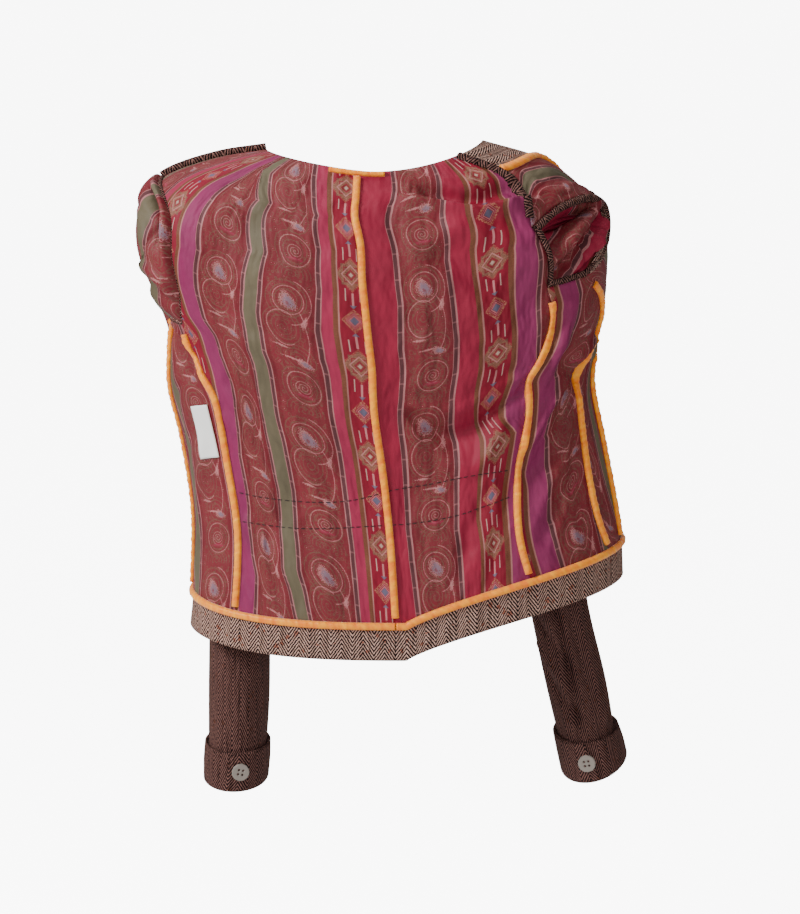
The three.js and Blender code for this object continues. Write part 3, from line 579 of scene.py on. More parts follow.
# Centre X, centre Y, radius, squash, pitch, strength of its lines, its ink
swirls = [
    (-1.0, 0.0, 20.0, 0.92, 4.1, 0.8, "olive"),
    (-4.0, 29.0, 18.0, 0.85, 3.7, 0.75, "olive"),
    (-3.0, 29.0, 8.5, 0.85, 2.4, 0.75, "ground"),
    (3.0, 86.0, 19.0, 0.95, 3.9, 0.75, "olive"),
    (4.0, 86.0, 8.0, 1.1, 2.7, 0.5, "pale"),
    (6.0, 58.0, 16.0, 1.1, 4.3, 0.7, "olive"),
    (2.0, 108.0, 18.0, 1.3, 3.4, 0.75, "olive"),
]
# Thin pale outlines: radius, centre X, centre Y, squash, the part of the oval that is drawn
outlines = [
    (13.5, 0.0, 0.0, 0.95, -20.0, 20.0),
    (14.0, -4.0, 30.0, 0.8, -30.0, 4.0),
    (23.0, -6.0, 36.0, 0.62, 10.0, 30.0),
    (14.5, 4.0, 86.0, 1.0, -20.0, 20.0),
    (18.0, 2.0, 2.0, 0.8, 4.0, 30.0),
]
# Filled drops and leaves: centre X, centre Y, half width, half height, lean, fill
drops = [
    (-1.0, 0.0, 6.8, 8.8, 0.3, "pale"),
    (0.2, 1.0, 5.0, 6.4, 0.3, "blueGrey"),
    (-0.5, 3.0, 1.6, 2.0, 0.3, "ground"),
    (15.0, 19.0, 2.2, 6.0, -0.2, "pale"),
    (9.0, 62.0, 5.6, 3.8, 0.5, "pale"),
    (10.0, 62.5, 3.6, 2.6, 0.5, "blueGrey"),
    (0.0, 60.0, 8.0, 1.0, 0.1, "pale"),
    (-8.0, 50.0, 6.5, 1.2, -0.3, "pale"),
    (4.0, 93.0, 8.0, 1.5, 0.0, "pink"),
]


def useScroll(tree, x, y, centreX, centreY, radius, squash, pitch):
    return useGroup(tree, scroll, {"X": x, "Y": y, "Centre X": centreX, "Centre Y": centreY,
                                   "Radius": radius, "Squash": squash, "Pitch": pitch})


def paintPaisley(tree, place, x, down, speckle, base):
    repeat = liningLook["paisleyRepeat"]
    y = calc(tree, "MODULO", calc(tree, "ADD", down, farUp * repeat + 25), repeat)
    y = calc(tree, "SUBTRACT", y, 25.0)
    # small rings and dots that fill the ground
    cells, finer = addCells(tree, place, 0.2), addCells(tree, place, 0.42)
    colour = addInk(tree, base, "olive", speckle, 0.3)
    colour = addInk(tree, colour, "olive", band(tree, cells, 0.34, 0.44), 0.6)
    colour = addInk(tree, colour, "pale", below(tree, cells, 0.1), 0.5)
    colour = addInk(tree, colour, "rose", band(tree, finer, 0.3, 0.42), 0.3)
    colour = addInk(tree, colour, "edge", band(tree, calc(tree, "ABSOLUTE", x), 19.0, 30.0), 0.5)
    broken = calc(tree, "MULTIPLY_ADD", speckle, 0.75, 0.35)
    for centreX, centreY, radius, squash, pitch, strength, ink in swirls:
        lines = useScroll(tree, x, y, centreX, centreY, radius, squash, pitch)["Lines"]
        colour = addInk(tree, colour, ink, lines, strength, broken)
    for radius, centreX, centreY, squash, fromX, toX in outlines:
        distance = useScroll(tree, x, y, centreX, centreY, 60.0, squash, 9.0)["Distance"]
        ring = band(tree, distance, radius - liningLook["outline"], radius + liningLook["outline"])
        colour = addInk(tree, colour, "pale", broken, 0.6, ring, band(tree, x, fromX, toX))
    for centreX, centreY, halfX, halfY, lean, fill in drops:
        offX = calc(tree, "SUBTRACT", x, centreX)
        offY = calc(tree, "SUBTRACT", y, centreY)
        straight = calc(tree, "MULTIPLY_ADD", offY, -lean, offX)
        partX = calc(tree, "DIVIDE", straight, calc(tree, "MULTIPLY_ADD", offY, 0.35 * halfX / halfY, halfX))
        partY = calc(tree, "DIVIDE", offY, halfY)
        reach = calc(tree, "ADD", product(tree, partX, partX), product(tree, partY, partY))
        ragged = calc(tree, "MULTIPLY_ADD", speckle, 1.3, reach)
        colour = addInk(tree, colour, fill, below(tree, ragged, 1.5), 0.62)
    return colour


def paintMotif(tree, x, down, speckle, base, shift):
    repeat = liningLook["motifRepeat"]
    moved = calc(tree, "ADD", calc(tree, "ADD", down, shift), (farUp + 0.5) * repeat)
    y = calc(tree, "ABSOLUTE", calc(tree, "SUBTRACT", calc(tree, "MODULO", moved, repeat), repeat / 2))
    side = calc(tree, "ABSOLUTE", x)
    reach = calc(tree, "ADD", side, y)
    upper = calc(tree, "SUBTRACT", repeat / 2, y)
    lozenge = calc(tree, "ADD", side, upper)
    box = calc(tree, "MAXIMUM", side, upper)
    star = calc(tree, "MAXIMUM", below(tree, lozenge, 15.0), below(tree, box, 10.0))
    wedge = below(tree, side, calc(tree, "SUBTRACT", y, 11.6))
    # ink, where it lies, its strength
    steps = [
        ("blueGrey", below(tree, reach, 4.2), 0.85),
        ("pale", band(tree, reach, 4.8, 5.9), 0.7),
        ("pale", band(tree, reach, 7.0, 7.9), 0.5),
        ("straw", band(tree, reach, 8.6, 12.0), over(tree, speckle, 0.5), 0.7),
        ("pale", band(tree, y, 13.0, 27.0), below(tree, side, 1.1), 0.75),
        ("cream", band(tree, y, 19.0, 31.0), band(tree, side, 6.4, 7.7), 0.6),
        ("blueGrey", band(tree, y, 12.0, 15.0), wedge, 0.8),
        ("olive", star, 0.8),
        ("straw", below(tree, lozenge, 17.0), speckle, 0.45),
        ("pale", band(tree, lozenge, 8.5, 10.0), 0.6),
        ("rose", band(tree, box, 6.2, 7.4), over(tree, lozenge, 10.0), 0.8),
        ("rose", band(tree, lozenge, 3.2, 5.6), 0.85),
        ("cream", below(tree, lozenge, 2.2), 0.6),
    ]
    colour = base
    for ink, *masks in steps:
        colour = addInk(tree, colour, ink, *masks)
    return colour


def liningMaterial():
    material, tree, inputs = newMaterial("striped lining", {"Roughness": 0.6, "Specular IOR Level": 0.22})
    place, acrossRaw, down = clothPlace(tree)
    # the left half's stripes repeat to the left of the list's first stripe
    before = calc(tree, "FLOOR", calc(tree, "DIVIDE", calc(tree, "MINIMUM", acrossRaw, 0.0), halfTotal))
    across = calc(tree, "MULTIPLY_ADD", before, -halfTotal, acrossRaw)
    early = stripeRamps(tree, across, 0, halfCount, 0.0, halfTotal)
    late = stripeRamps(tree, across, halfCount, len(stripes), halfTotal, stripeTotal - halfTotal)
    isLeft, isLate = below(tree, across, halfTotal), over(tree, across, halfTotal)
    base, packed = (blendColour(tree, isLate, early[part], late[part]) for part in (0, 1))
    layout = addNode(tree, "ShaderNodeSeparateColor", {0: packed}).outputs
    x = calc(tree, "SUBTRACT", across, product(tree, layout[0], stripeTotal))
    kind = layout[1]
    innerEdge = calc(tree, "SUBTRACT", product(tree, layout[2], widthScale), liningLook["edgeLine"])
    speckle = spread(tree, addNoise(tree, place, liningLook["speckleScale"], 2.0), 0.38, 0.62)
    paisley = paintPaisley(tree, place, x, down, speckle, base)
    colour = blendColour(tree, band(tree, kind, 0.4, 0.6), base, paisley)
    motif = paintMotif(tree, x, down, speckle, base, product(tree, isLeft, liningLook["motifShift"]))
    colour = blendColour(tree, band(tree, kind, 0.65, 0.85), colour, motif)
    # tan stripes are dotted, with a pale line on one side, and line stripes have one on both sides
    isTan, isLine = over(tree, kind, 0.9), band(tree, kind, 0.15, 0.35)
    colour = addInk(tree, colour, "dots", isTan, speckle, 0.5)
    colour = addInk(tree, colour, "pale", isLine, over(tree, calc(tree, "ABSOLUTE", x), innerEdge), 0.6)
    colour = addInk(tree, colour, "pale", isTan, over(tree, x, innerEdge), 0.55)
    # and a small mark now and then
    every = liningLook["markEvery"]
    along = calc(tree, "MODULO", calc(tree, "ADD", down, 2 * farUp * every), every)
    colour = addInk(tree, colour, "pale", isLine, below(tree, along, liningLook["mark"]), 0.22)
    # slow change of tone, the weave and the crinkles
    slow = addNoise(tree, place, liningLook["toneScale"], 3.0)
    grain = addNoise(tree, place, liningLook["grainScale"], 2.0)
    tone = spread(tree, slow, 0.3, 0.7, *liningLook["tone"])
    strength = product(tree, tone, spread(tree, grain, 0.3, 0.7, *liningLook["grain"]))
    final = addNode(tree, "ShaderNodeVectorMath", {0: colour, "Scale": strength}, operation="SCALE")
    tree.links.new(final.outputs[0], inputs["Base Color"])
    soft = addNoise(tree, longPlace(tree, place, 0.45), liningLook["crinkleScale"], 2.0, 0.1)
    crinkles = addBump(tree, soft, 0.7, liningLook["crinkles"])
    tree.links.new(addBump(tree, grain, 0.25, liningLook["relief"], Normal=crinkles), inputs["Normal"])
    return material


lining = liningMaterial()
# The dark gold is the satin's own colour; the light gold is a painted highlight.
satinHighlightLook = {"dark": linear(244, 146, 0), "light": linear(255, 184, 8), "puckers": 0.0022}


def satinMaterial():
    material, tree, inputs = newMaterial(
        "gold satin binding", {"Roughness": 0.45, "Specular IOR Level": 0.3, "Sheen Weight": 0.2})
    _, along, around = clothPlace(tree)
    slanted = calc(tree, "MULTIPLY_ADD", around, 0.08, product(tree, along, 0.16))
    place = addNode(tree, "ShaderNodeCombineXYZ", {0: slanted, 1: product(tree, around, 0.1)}).outputs[0]
    # The gold turns light where the pucker noise rises and stays dark where it sinks: a painted highlight on
    # the puckers' crests.
    pucker = addNoise(tree, place, 1.0, 3.0)
    colour = blendColour(tree, spread(tree, pucker, 0.35, 0.65), satinHighlightLook["dark"], satinHighlightLook["light"])
    tree.links.new(colour, inputs["Base Color"])
    tree.links.new(addBump(tree, pucker, 0.7, satinHighlightLook["puckers"]), inputs["Normal"])
    return material


satin = satinMaterial()
labelCloth = plainMaterial("blank label", 0.75, 244, 243, 240)
thread = plainMaterial("dark thread", 0.8, 52, 26, 34)
rawEdge = plainMaterial("raw edge thread", 0.9, 150, 92, 96)
pearl = plainMaterial("pearl button", 0.25, 158, 150, 142)
print("materials ready")


# Cloth pieces
weldDistance = 0.00002


def meshPiece(name, bm, looks):
    mesh = bpy.data.meshes.new(name)
    bm.to_mesh(mesh)
    bm.free()
    piece = bpy.data.objects.new(name, mesh)
    bpy.context.scene.collection.objects.link(piece)
    for look in looks:
        mesh.materials.append(look)
    return piece


def gridPiece(name, points, places, looks, wall=0.0, closed=False, outwards=None, capped=False):
    # a grid of quads moved onto rows of points, with the cloth map given by places
    rows, columns = points.shape[:2]
    bm = bmesh.new()
    bmesh.ops.create_grid(bm, x_segments=columns - 1, y_segments=rows - 1, size=0.5)
    where = {}
    for vert in bm.verts:
        column = round((vert.co.x + 0.5) * (columns - 1))
        row = round((vert.co.y + 0.5) * (rows - 1))
        where[vert] = (row, column)
    for vert, (row, column) in where.items():
        vert.co = points[row, column] * mm
    layer = bm.loops.layers.uv.new("cloth")
    for face in bm.faces:
        face.smooth = True
        for loop in face.loops:
            loop[layer].uv = places[where[loop.vert]]
    if closed:
        bmesh.ops.remove_doubles(bm, verts=bm.verts, dist=weldDistance)
    if capped:
        bmesh.ops.holes_fill(bm, edges=bm.edges, sides=0)
    bm.normal_update()
    if outwards is not None:
        agree = sum(face.normal.dot(Vector(outwards(face.calc_center_median()))) for face in bm.faces)
        if agree < 0:
            bmesh.ops.reverse_faces(bm, faces=bm.faces)
    else:
        bmesh.ops.recalc_face_normals(bm, faces=bm.faces)
    piece = meshPiece(f"sewn_{name}", bm, looks)
    if wall > 0:
        solid = piece.modifiers.new("wall", "SOLIDIFY")
        solid.thickness = wall * mm
        solid.offset = -1
        solid.use_even_offset = False
        if len(looks) > 1:
            solid.material_offset = 1
            solid.material_offset_rim = 1
    return piece


def measured(points):
    # distances along the rows and down the columns of a grid of points
    along = np.linalg.norm(np.diff(points, axis=1), axis=2)
    across = np.concatenate([np.zeros((len(points), 1)), np.cumsum(along, axis=1)], axis=1)
    steps = np.linalg.norm(np.diff(points, axis=0), axis=2)
    down = np.concatenate([np.zeros((1, points.shape[1])), np.cumsum(steps, axis=0)], axis=0)
    return across, down


bodyMiddle = 0.02


def fromAxis(centre):
    # which way is out of the body, at a place in metres
    return (centre.x - bodyMiddle, centre.y, 0.0)


# How the lining's stripes lie on the back: for each of these lines its place across the cloth, and
# where it runs, as (turn, ring)
stripeLines = {
    "left": [
        (76 - halfTotal, [(-52, 0), (-49, 1.4), (-46, 2.05), (-44, 3.58), (-47, 4.58), (-47.3, 5.25),
                          (-45.2, 5.58), (-45, 6.03), (-41.9, 6.54), (-40.3, 6.92), (-40.7, 7.45),
                          (-42.6, 7.85), (-42.4, 8.35), (-43.6, 8.77), (-42.7, 9.21), (-41.4, 9.43),
                          (-41.8, 10)]),
        (133 - halfTotal, [(-50, 0), (-47.8, 0.67), (-33.5, 1.62), (-28.6, 3.29), (-31.4, 4.34), (-33.3, 4.8),
                           (-34.6, 5.77), (-31.8, 6.85), (-31.6, 7.37), (-31.2, 8.25), (-32.6, 8.81),
                           (-32.4, 9.32), (-30.4, 9.54), (-28.1, 10)]),
        (0, [(-32, 0), (-29.3, 0.24), (-15.6, 1.83), (-13.2, 3.06), (-13.3, 4.16), (-15.5, 5.05), (-16, 5.81),
             (-13.9, 6.73), (-13.4, 7.58), (-13.9, 8.02), (-14.6, 8.74), (-14.5, 9.14), (-12.9, 10)]),
        (47, centreBack),
    ],
    "right": [
        (halfTotal + 12, centreBack),
        (halfTotal + 37, [(8.1, 0), (3.3, 1.23), (4.5, 2.67), (5.1, 3.6), (5.4, 4.45), (4.2, 5.49),
                          (4.6, 6.7), (3.4, 7.56), (1.7, 8.3), (0.7, 8.73), (0.7, 9.14), (2.3, 10)]),
        (halfTotal + 88, [(29.3, 0), (20.8, 0.83), (18.1, 2.25), (17, 3.4), (17.8, 4.39), (18.3, 5.29),
                          (18, 6.06), (17.7, 6.87), (16.9, 7.31), (17.3, 7.55), (14.5, 8.37), (13.1, 8.82),
                          (13.5, 10)]),
        (halfTotal + 114, [(36.7, 0), (26.2, 1.59), (23.1, 3.18), (24.1, 4.43), (24.8, 5.34), (24.8, 6.11),
                           (24.5, 6.92), (24.4, 7.52), (22.2, 7.96), (19.4, 8.72), (19.4, 9.19), (18.8, 10)]),
        (halfTotal + 147, [(47, 0), (43, 0.9), (35.7, 2.05), (31.8, 3.32), (32.6, 4.3), (33.2, 5.17),
                           (33.6, 6.21), (32.3, 6.9), (30.3, 7.25), (32.7, 7.46), (29.9, 7.87), (26.6, 8.47),
                           (25.7, 8.95), (25.1, 10)]),
    ],
}
beyondPerDegree = 3.9   # how far the cloth runs on for each degree beyond the outermost line
patternStart = {"left": -14.0, "right": 11.0}


def stripePlaces(side, stations, down):
    turn, ring = stations[..., 0], stations[..., 1]
    lines = []
    for place, run in stripeLines[side]:
        run = np.array(run, float)
        lines.append((place, np.interp(ring, run[:, 1], run[:, 0])))
    across = np.zeros(turn.shape)
    for (placeA, turnA), (placeB, turnB) in zip(lines[:-1], lines[1:]):
        share = (turn - turnA) / np.maximum(turnB - turnA, 0.5)
        between = (turn >= turnA) & (turn <= turnB)
        across = np.where(between, placeA + (placeB - placeA) * share, across)
    across = np.where(turn < lines[0][1], lines[0][0] + (turn - lines[0][1]) * beyondPerDegree, across)
    across = np.where(turn > lines[-1][1], lines[-1][0] + (turn - lines[-1][1]) * beyondPerDegree, across)
    return np.stack([across, down + patternStart[side]], -1)


# How far down the cloth a station lies, measured from the neck at its own turn
grid = {"turn": 150, "columns": 60, "rows": 110}
turnTable = np.linspace(-grid["turn"], grid["turn"], grid["columns"] + 1)
ringTable = np.linspace(0, garment["hemFoot"], grid["rows"] + 1)
downTable = measured(bodyPoints(np.stack(np.meshgrid(turnTable, ringTable), -1)))[1]


def downFrom(stations):
    turn, ring = stations[..., 0], stations[..., 1]
    column = np.clip((turn + grid["turn"]) * grid["columns"] / (2 * grid["turn"]), 0, grid["columns"] - 0.001)
    row = np.clip(ring * grid["rows"] / garment["hemFoot"], 0, grid["rows"] - 0.001)
    i, j = row.astype(int), column.astype(int)
    fr, fc = row - i, column - j
    upper = downTable[i, j] * (1 - fc) + downTable[i, j + 1] * fc
    lower = downTable[i + 1, j] * (1 - fc) + downTable[i + 1, j + 1] * fc
    return upper * (1 - fr) + lower * fr


made = {}
seamRuns = {}
backRows = garment["shoulderSteps"] + garment["armholeSteps"] + garment["seamSteps"]
frontRows = garment["armholeSteps"] + garment["seamSteps"]
centreStations = stationsAlong(centreBack, backRows)
seamSteps = {"neck": "neckSteps", "shoulder": "shoulderSteps", "armholeBack": "armholeSteps",
             "armholeFront": "armholeSteps", "princess": "seamSteps", "side": "seamSteps"}
# Where each lining panel starts across the striped cloth, and which way it runs from there
panelStart = {
    "side_left": (7.0, -1), "side_right": (44.0, 1),
    "front_left": (150.0, 1), "front_right": (-96.0, 1),
}


def addPanel(name, stations, looks, places=None):
    points = surfacePoints(stations)
    if places is None:
        across, down = measured(points)
        start, way = panelStart.get(name, (0.0, 1))
        places = np.stack([start + way * across, down], -1)
    made[name] = gridPiece(name, points, places, looks, garment["clothWall"], outwards=fromAxis)


def buildHalf(side):
    s = seams[side]
    fine, hemRing, hemFoot = garment["fine"], garment["hemRing"], garment["hemFoot"]
    neck, shoulder, armholeBack, armholeFront, princess, sideSeam = (
        stationsAlong(s[seam], garment[steps]) for seam, steps in seamSteps.items())
    facing, edge = (stationsAlong(s[seam][:-1], frontRows) for seam in ("facing", "edge"))
    facingFoot, edgeFoot = (stationsAlong(s[seam][-2:], garment["hemSteps"]) for seam in ("facing", "edge"))
    facingSteps = garment["facingShoulderSteps"]

    backEdge = joined(shoulder, armholeBack, princess)
    frontEdge = joined(armholeFront, sideSeam)
    backFoot = levelStations(centreStations[-1, 0], princess[-1, 0], hemRing, garment["neckSteps"])
    stations = patchStations(centreStations, backEdge, neck, backFoot)
    places = stripePlaces(side, stations, downFrom(stations))
    addPanel(f"back_{side}", stations, [lining, tweed], places)

    share = np.linspace(0, 1, garment["sideColumns"] * fine + 1)[:, None]
    sideTop = princess[0] + (sideSeam[0] - princess[0]) * share
    sideFoot = levelStations(princess[-1, 0], sideSeam[-1, 0], hemRing, garment["sideColumns"])
    addPanel(f"side_{side}", patchStations(princess, sideSeam, sideTop, sideFoot), [lining, tweed])

    frontTop = shoulder[facingSteps * fine:][::-1]
    facing[0] = frontTop[-1]
    frontFoot = levelStations(sideSeam[-1, 0], facing[-1, 0], hemRing, garment["shoulderSteps"] - facingSteps)
    addPanel(f"front_{side}", patchStations(frontEdge, facing, frontTop, frontFoot), [lining, tweed])

    facingTop = shoulder[:facingSteps * fine + 1][::-1]
    facingEnd = levelStations(facingFoot[-1, 0], edgeFoot[-1, 0], hemFoot, facingSteps)
    outer, inner = joined(facing, facingFoot), joined(edge, edgeFoot)
    addPanel(f"facing_{side}", patchStations(outer, inner, facingTop, facingEnd), [tweed, tweed])

    hemTop = joined(backFoot, sideFoot, frontFoot)
    hemLevels = np.linspace(hemRing, hemFoot, garment["hemSteps"] * fine + 1)
    hemGrid = np.stack([np.stack([hemTop[:, 0], np.full(len(hemTop), ring)], -1) for ring in hemLevels])
    addPanel(f"hem_{side}", hemGrid, [tweed, tweed])

    facingHem = levelStations(facing[-1, 0], edge[-1, 0], hemRing, facingSteps)
    seamRuns[side] = {
        "princess": princess, "side": sideSeam, "facing": facing, "hem": joined(hemTop, facingHem),
        "shoulder": shoulder, "mouth": joined(armholeBack, sideTop, armholeFront[::-1])[:-1],
    }


for side in ("left", "right"):
    buildHalf(side)
print("panels ready")

# Bindings and seam allowances: sizes in mm
trims = {
    "bindingWidth": 7.4,
    "facingWidth": 8.9,
    "bindingHeight": 4.2,
    "ripple": 0.12,
    "allowanceWidth": 9,
    "allowanceHeight": {"left": 6.5, "right": 3.4},
    "allowanceEnd": {"left": 0.5, "right": 9.0},
    "rimWidth": {"left": 5, "right": 8},
    "rimHeight": {"left": 3, "right": 4.5},
    # how much of the rim stands up, by ring down the armhole
    "rimShown": {
        "left": ((2.3, 2.6, 2.9), (1.0, 0.6, 0.06)),
        "right": ((2.3, 2.9, 3.6, 4.2), (0.75, 0.9, 0.6, 0.45)),
    },
    # and by turn, as a factor
    "rimTurn": {"left": ((-90, -50), (1, 1)), "right": ((50, 62, 70, 78), (0.9, 1.0, 1.25, 1.6))},
    "lift": -0.3,
    "end": 7,
    "neckEnd": 9,
    "facingEnd": 14,
    "centreGap": 0.4,
    "sides": 12,
}


def stepAside(stations, direction, distance):
    # stations that lie a distance away in a direction along the surface
    stepTurn, stepRing = np.array([0.2, 0.0]), 0.02
    around = (bodyPoints(stations + stepTurn) - bodyPoints(stations - stepTurn)) / (2 * stepTurn[0])
    low, high = stations.copy(), stations.copy()
    low[..., 1] = np.maximum(low[..., 1] - stepRing, 0)
    high[..., 1] = np.minimum(high[..., 1] + stepRing, garment["hemFoot"])
    down = (bodyPoints(high) - bodyPoints(low)) / (high[..., 1] - low[..., 1])[..., None]
    aa, ab, bb = (around * around).sum(-1), (around * down).sum(-1), (down * down).sum(-1)
    alongA, alongB = (direction * around).sum(-1) * distance, (direction * down).sum(-1) * distance
    scale = aa * bb - ab * ab
    moved = stations.copy()
    moved[..., 0] += (alongA * bb - alongB * ab) / scale
    moved[..., 1] += (alongB * aa - alongA * ab) / scale
    return moved


def shortened(stations, startGap, endGap, step=2.0):
    # the run without its first and last millimetres, with a station every step mm
    points = surfacePoints(stations)
    lengths = lengthsAlong(points)
    return pointsAt(np.arange(startGap, lengths[-1] - endGap, step), lengths, stations)


def trimSection(sides):
    # (across, up) round a low dome: flat below, round above
    section = []
    for number in range(sides + 1):
        angle = 2 * math.pi * number / sides
        across, up = math.cos(angle), math.sin(angle)
        height = up ** 0.75 if up > 0 else 0.06 * up
        section.append((0.5 * math.copysign(abs(across) ** 0.8, across), height))
    return section


def addTrim(name, stations, width, height, look, closed=False, aside=0.0, ripple=0.0, ragged=0.0, swell=None):
    # swell multiplies the height, and partly the width, at each station
    if closed:
        before, after = np.roll(stations, 1, axis=0), np.roll(stations, -1, axis=0)
    else:
        before = np.vstack([stations[:1], stations[:-1]])
        after = np.vstack([stations[1:], stations[-1:]])
    along = surfacePoints(after) - surfacePoints(before)
    sideways = np.cross(along, bodyNormals(stations))
    sideways /= np.linalg.norm(sideways, axis=-1, keepdims=True)
    count = len(stations)
    number = np.arange(count)
    quick = np.sin(number * 1.9 + 0.7 * np.sin(number * 0.31))
    wave = 1 + ripple * (quick * 0.6 + np.sin(number * 0.83 + 2) * 0.4)
    waver = 1 + ragged * np.sin(number * 2.7 + 3 * np.sin(number * 0.9)) + 0.5 * ragged * np.sin(number * 1.3)
    tall = np.ones(count) if swell is None else swell
    wide = 0.5 + 0.5 * tall
    rows = []
    for across, up in trimSection(trims["sides"]):
        edge = waver if across > 0 else np.ones(count)
        beside = stepAside(stations, sideways, aside * wide + across * width * wide * edge)
        rows.append(surfacePoints(beside, trims["lift"] * tall + up * height * wave * tall))
    points = np.stack(rows, 1)
    if closed:
        points = np.vstack([points, points[:1]])
    length = lengthsAlong(points[:, trims["sides"] // 4])
    girth = np.linspace(0, 2 * width, points.shape[1])
    places = np.stack(np.broadcast_arrays(length[:, None], girth[None, :]), -1)
    made[name] = gridPiece(name, points, places, [look], closed=True, capped=not closed)


def addBinding(name, stations, width=trims["bindingWidth"], ripple=trims["ripple"]):
    addTrim(name, stations, width, trims["bindingHeight"], satin, ripple=ripple)


for side in ("left", "right"):
    run = seamRuns[side]
    rim, rimHigh, end = trims["rimWidth"][side], trims["rimHeight"][side], trims["end"]
    for seam in ("princess", "side"):
        addBinding(f"binding_{seam}_{side}", shortened(run[seam], end + rim, end))
    facingRun = shortened(run["facing"], trims["facingEnd"], end)
    addBinding(f"binding_facing_{side}", facingRun, trims["facingWidth"])
    addBinding(f"binding_hem_{side}", shortened(run["hem"], trims["centreGap"], trims["centreGap"]))
    addTrim(f"shoulder_seam_{side}", shortened(run["shoulder"], 0.3, trims["allowanceEnd"][side]),
            trims["allowanceWidth"], trims["allowanceHeight"][side], shadedTweed, ragged=0.12)
    shown = np.interp(run["mouth"][:, 1], *trims["rimShown"][side])
    shown = shown * np.interp(run["mouth"][:, 0], *trims["rimTurn"][side])
    addTrim(f"armhole_seam_{side}", run["mouth"], rim, rimHigh, shadedTweed, closed=True, aside=-(rim / 2 + 1),
            ragged=0.15, swell=shown)
addBinding("binding_centre_back", shortened(centreStations, trims["neckEnd"], trims["end"]))
neckRun = {"from": -22, "to": 5, "ring": 0.12, "width": 5, "steps": 6, "ripple": 0.1}
neckStations = levelStations(neckRun["from"], neckRun["to"], neckRun["ring"], neckRun["steps"])
addBinding("binding_neck", neckStations, neckRun["width"], neckRun["ripple"])
print("bindings ready")

# Collar and label
collarSize = {"fromTurn": -100, "toTurn": 100, "top": 0.06, "foot": 1.05, "inset": 4.2, "wall": 2.4,
              "columns": 24, "rows": 15}
labelSize = {"turn": -50.2, "ring": 7.1, "width": 24, "length": 53, "rows": 24, "columns": 10, "lift": 1.7,
             "wall": 0.9}


def evenPlaces(points):
    # a map that only follows the surface
    return np.stack(measured(points), -1)


def collarPoints():
    levels = np.linspace(collarSize["top"], collarSize["foot"], collarSize["rows"] + 1)
    lines = [levelStations(collarSize["fromTurn"], collarSize["toTurn"], ring, collarSize["columns"])
             for ring in levels]
    return surfacePoints(np.stack(lines), -collarSize["inset"])


def labelPoints():
    station = np.array([labelSize["turn"], labelSize["ring"]])
    down = bodyPoints(station + (0, 1)) - bodyPoints(station)
    down /= np.linalg.norm(down)
    lines = []
    for row in range(labelSize["rows"] + 1):
        sideways = np.cross(down, bodyNormals(station))
        sideways /= np.linalg.norm(sideways)
        share = np.linspace(0, 1, labelSize["columns"] + 1)
        beside = np.stack([stepAside(station, sideways, part * labelSize["width"]) for part in share])
        lines.append(surfacePoints(beside, labelSize["lift"]))
        station = stepAside(station, down, labelSize["length"] / labelSize["rows"])
    return np.stack(lines)


for name, points, look, wall in (("collar", collarPoints(), tweed, collarSize["wall"]),
                                 ("care_label", labelPoints(), labelCloth, labelSize["wall"])):
    made[name] = gridPiece(name, points, evenPlaces(points), [look], wall, outwards=fromAxis)

# Hand stitches along the waist
stitchRuns = {
    "upper": [(-44.8, 8.41), (-34.5, 8.4), (-13.5, 8.33), (1, 8.14), (8.8, 8.1), (21.8, 8.03), (31, 8.04)],
    "lower": [(-45.2, 8.8), (-26.5, 8.76), (-8.5, 8.68), (-3, 8.66), (14.5, 8.61), (22.5, 8.53), (30, 8.45)],
}
stitchSize = {"length": 5.2, "gap": 1.6, "thick": 0.9, "sides": 6, "rows": 4, "lift": 0.25, "steps": 30}


def addStitch(bm, start, end, thick):
    # one stitch: a small rounded bar between two points
    direction = Vector(end - start)
    turn = direction.to_track_quat("Z", "Y").to_matrix().to_4x4()
    place = Matrix.Translation(Vector((start + end) / 2) * mm) @ turn
    stretch = Matrix.Diagonal((thick / 2 * mm, thick / 2 * mm, direction.length / 2 * mm, 1))
    bmesh.ops.create_uvsphere(bm, u_segments=stitchSize["sides"], v_segments=stitchSize["rows"], radius=1,
                              matrix=place @ stretch)


def stitchPiece(name, runs, look):
    bm = bmesh.new()
    for stations in runs:
        points = surfacePoints(stations, stitchSize["lift"])
        lengths = lengthsAlong(points)
        place = 0.0
        number = 0
        while place + stitchSize["length"] < lengths[-1]:
            start, end = pointsAt([place, place + stitchSize["length"]], lengths, points)
            addStitch(bm, start, end, stitchSize["thick"])
            place += stitchSize["length"] + stitchSize["gap"] * (1 + 0.5 * math.sin(number * 2.3))
            number += 1
    for face in bm.faces:
        face.smooth = True
    return meshPiece(name, bm, [look])


waistRuns = [stationsAlong(run, stitchSize["steps"]) for run in stitchRuns.values()]
extras = {"waist_stitches": stitchPiece("waist_stitches", waistRuns, thread)}
print("stitches ready")

# Sleeves and cuffs
# Sections from the armhole down: x, y, z, half width, half depth, tilt, dip
sleeves = {
    "left": np.array([
        (-150, -8, -206, 30, 44, 0, 0), (-146, 0, -250, 36, 49, 0, 0), (-138, 8, -310, 36, 50, 0, 0),
        (-134, 8, -390, 34, 47, 0, 0), (-134, 6, -470, 31, 44, 0, 0), (-135, 4, -550, 31, 42, 0, 0),
        (-137, 4, -606, 29.5, 40, 0, 4)], float),
    "right": np.array([
        (184, -14, -150, 32, 46, 0, 0), (172, 2, -225, 36, 50, 0, 0), (168, 8, -310, 36, 50, 0, 0),
        (176, 8, -390, 33, 47, 0, 0), (188, 6, -460, 30, 44, 0, 0), (205, 2, -535, 31, 42, 0, 0),
        (217, 0, -592, 28.4, 40, 4, 6)], float),
}
cuffs = {
    "left": np.array([(-137, 4, -600, 33.2, 43.8, 0, 4), (-138, 4, -618, 33.8, 44, 0, 5),
                      (-139, 4, -637, 33, 43, 0, 7)], float),
    "right": np.array([(216.4, 0, -586, 33.2, 43.8, 4, 6), (221, 0, -603, 34, 44, 6, 9),
                       (225, 0, -620, 33.5, 43, 9, 12)], float),
}
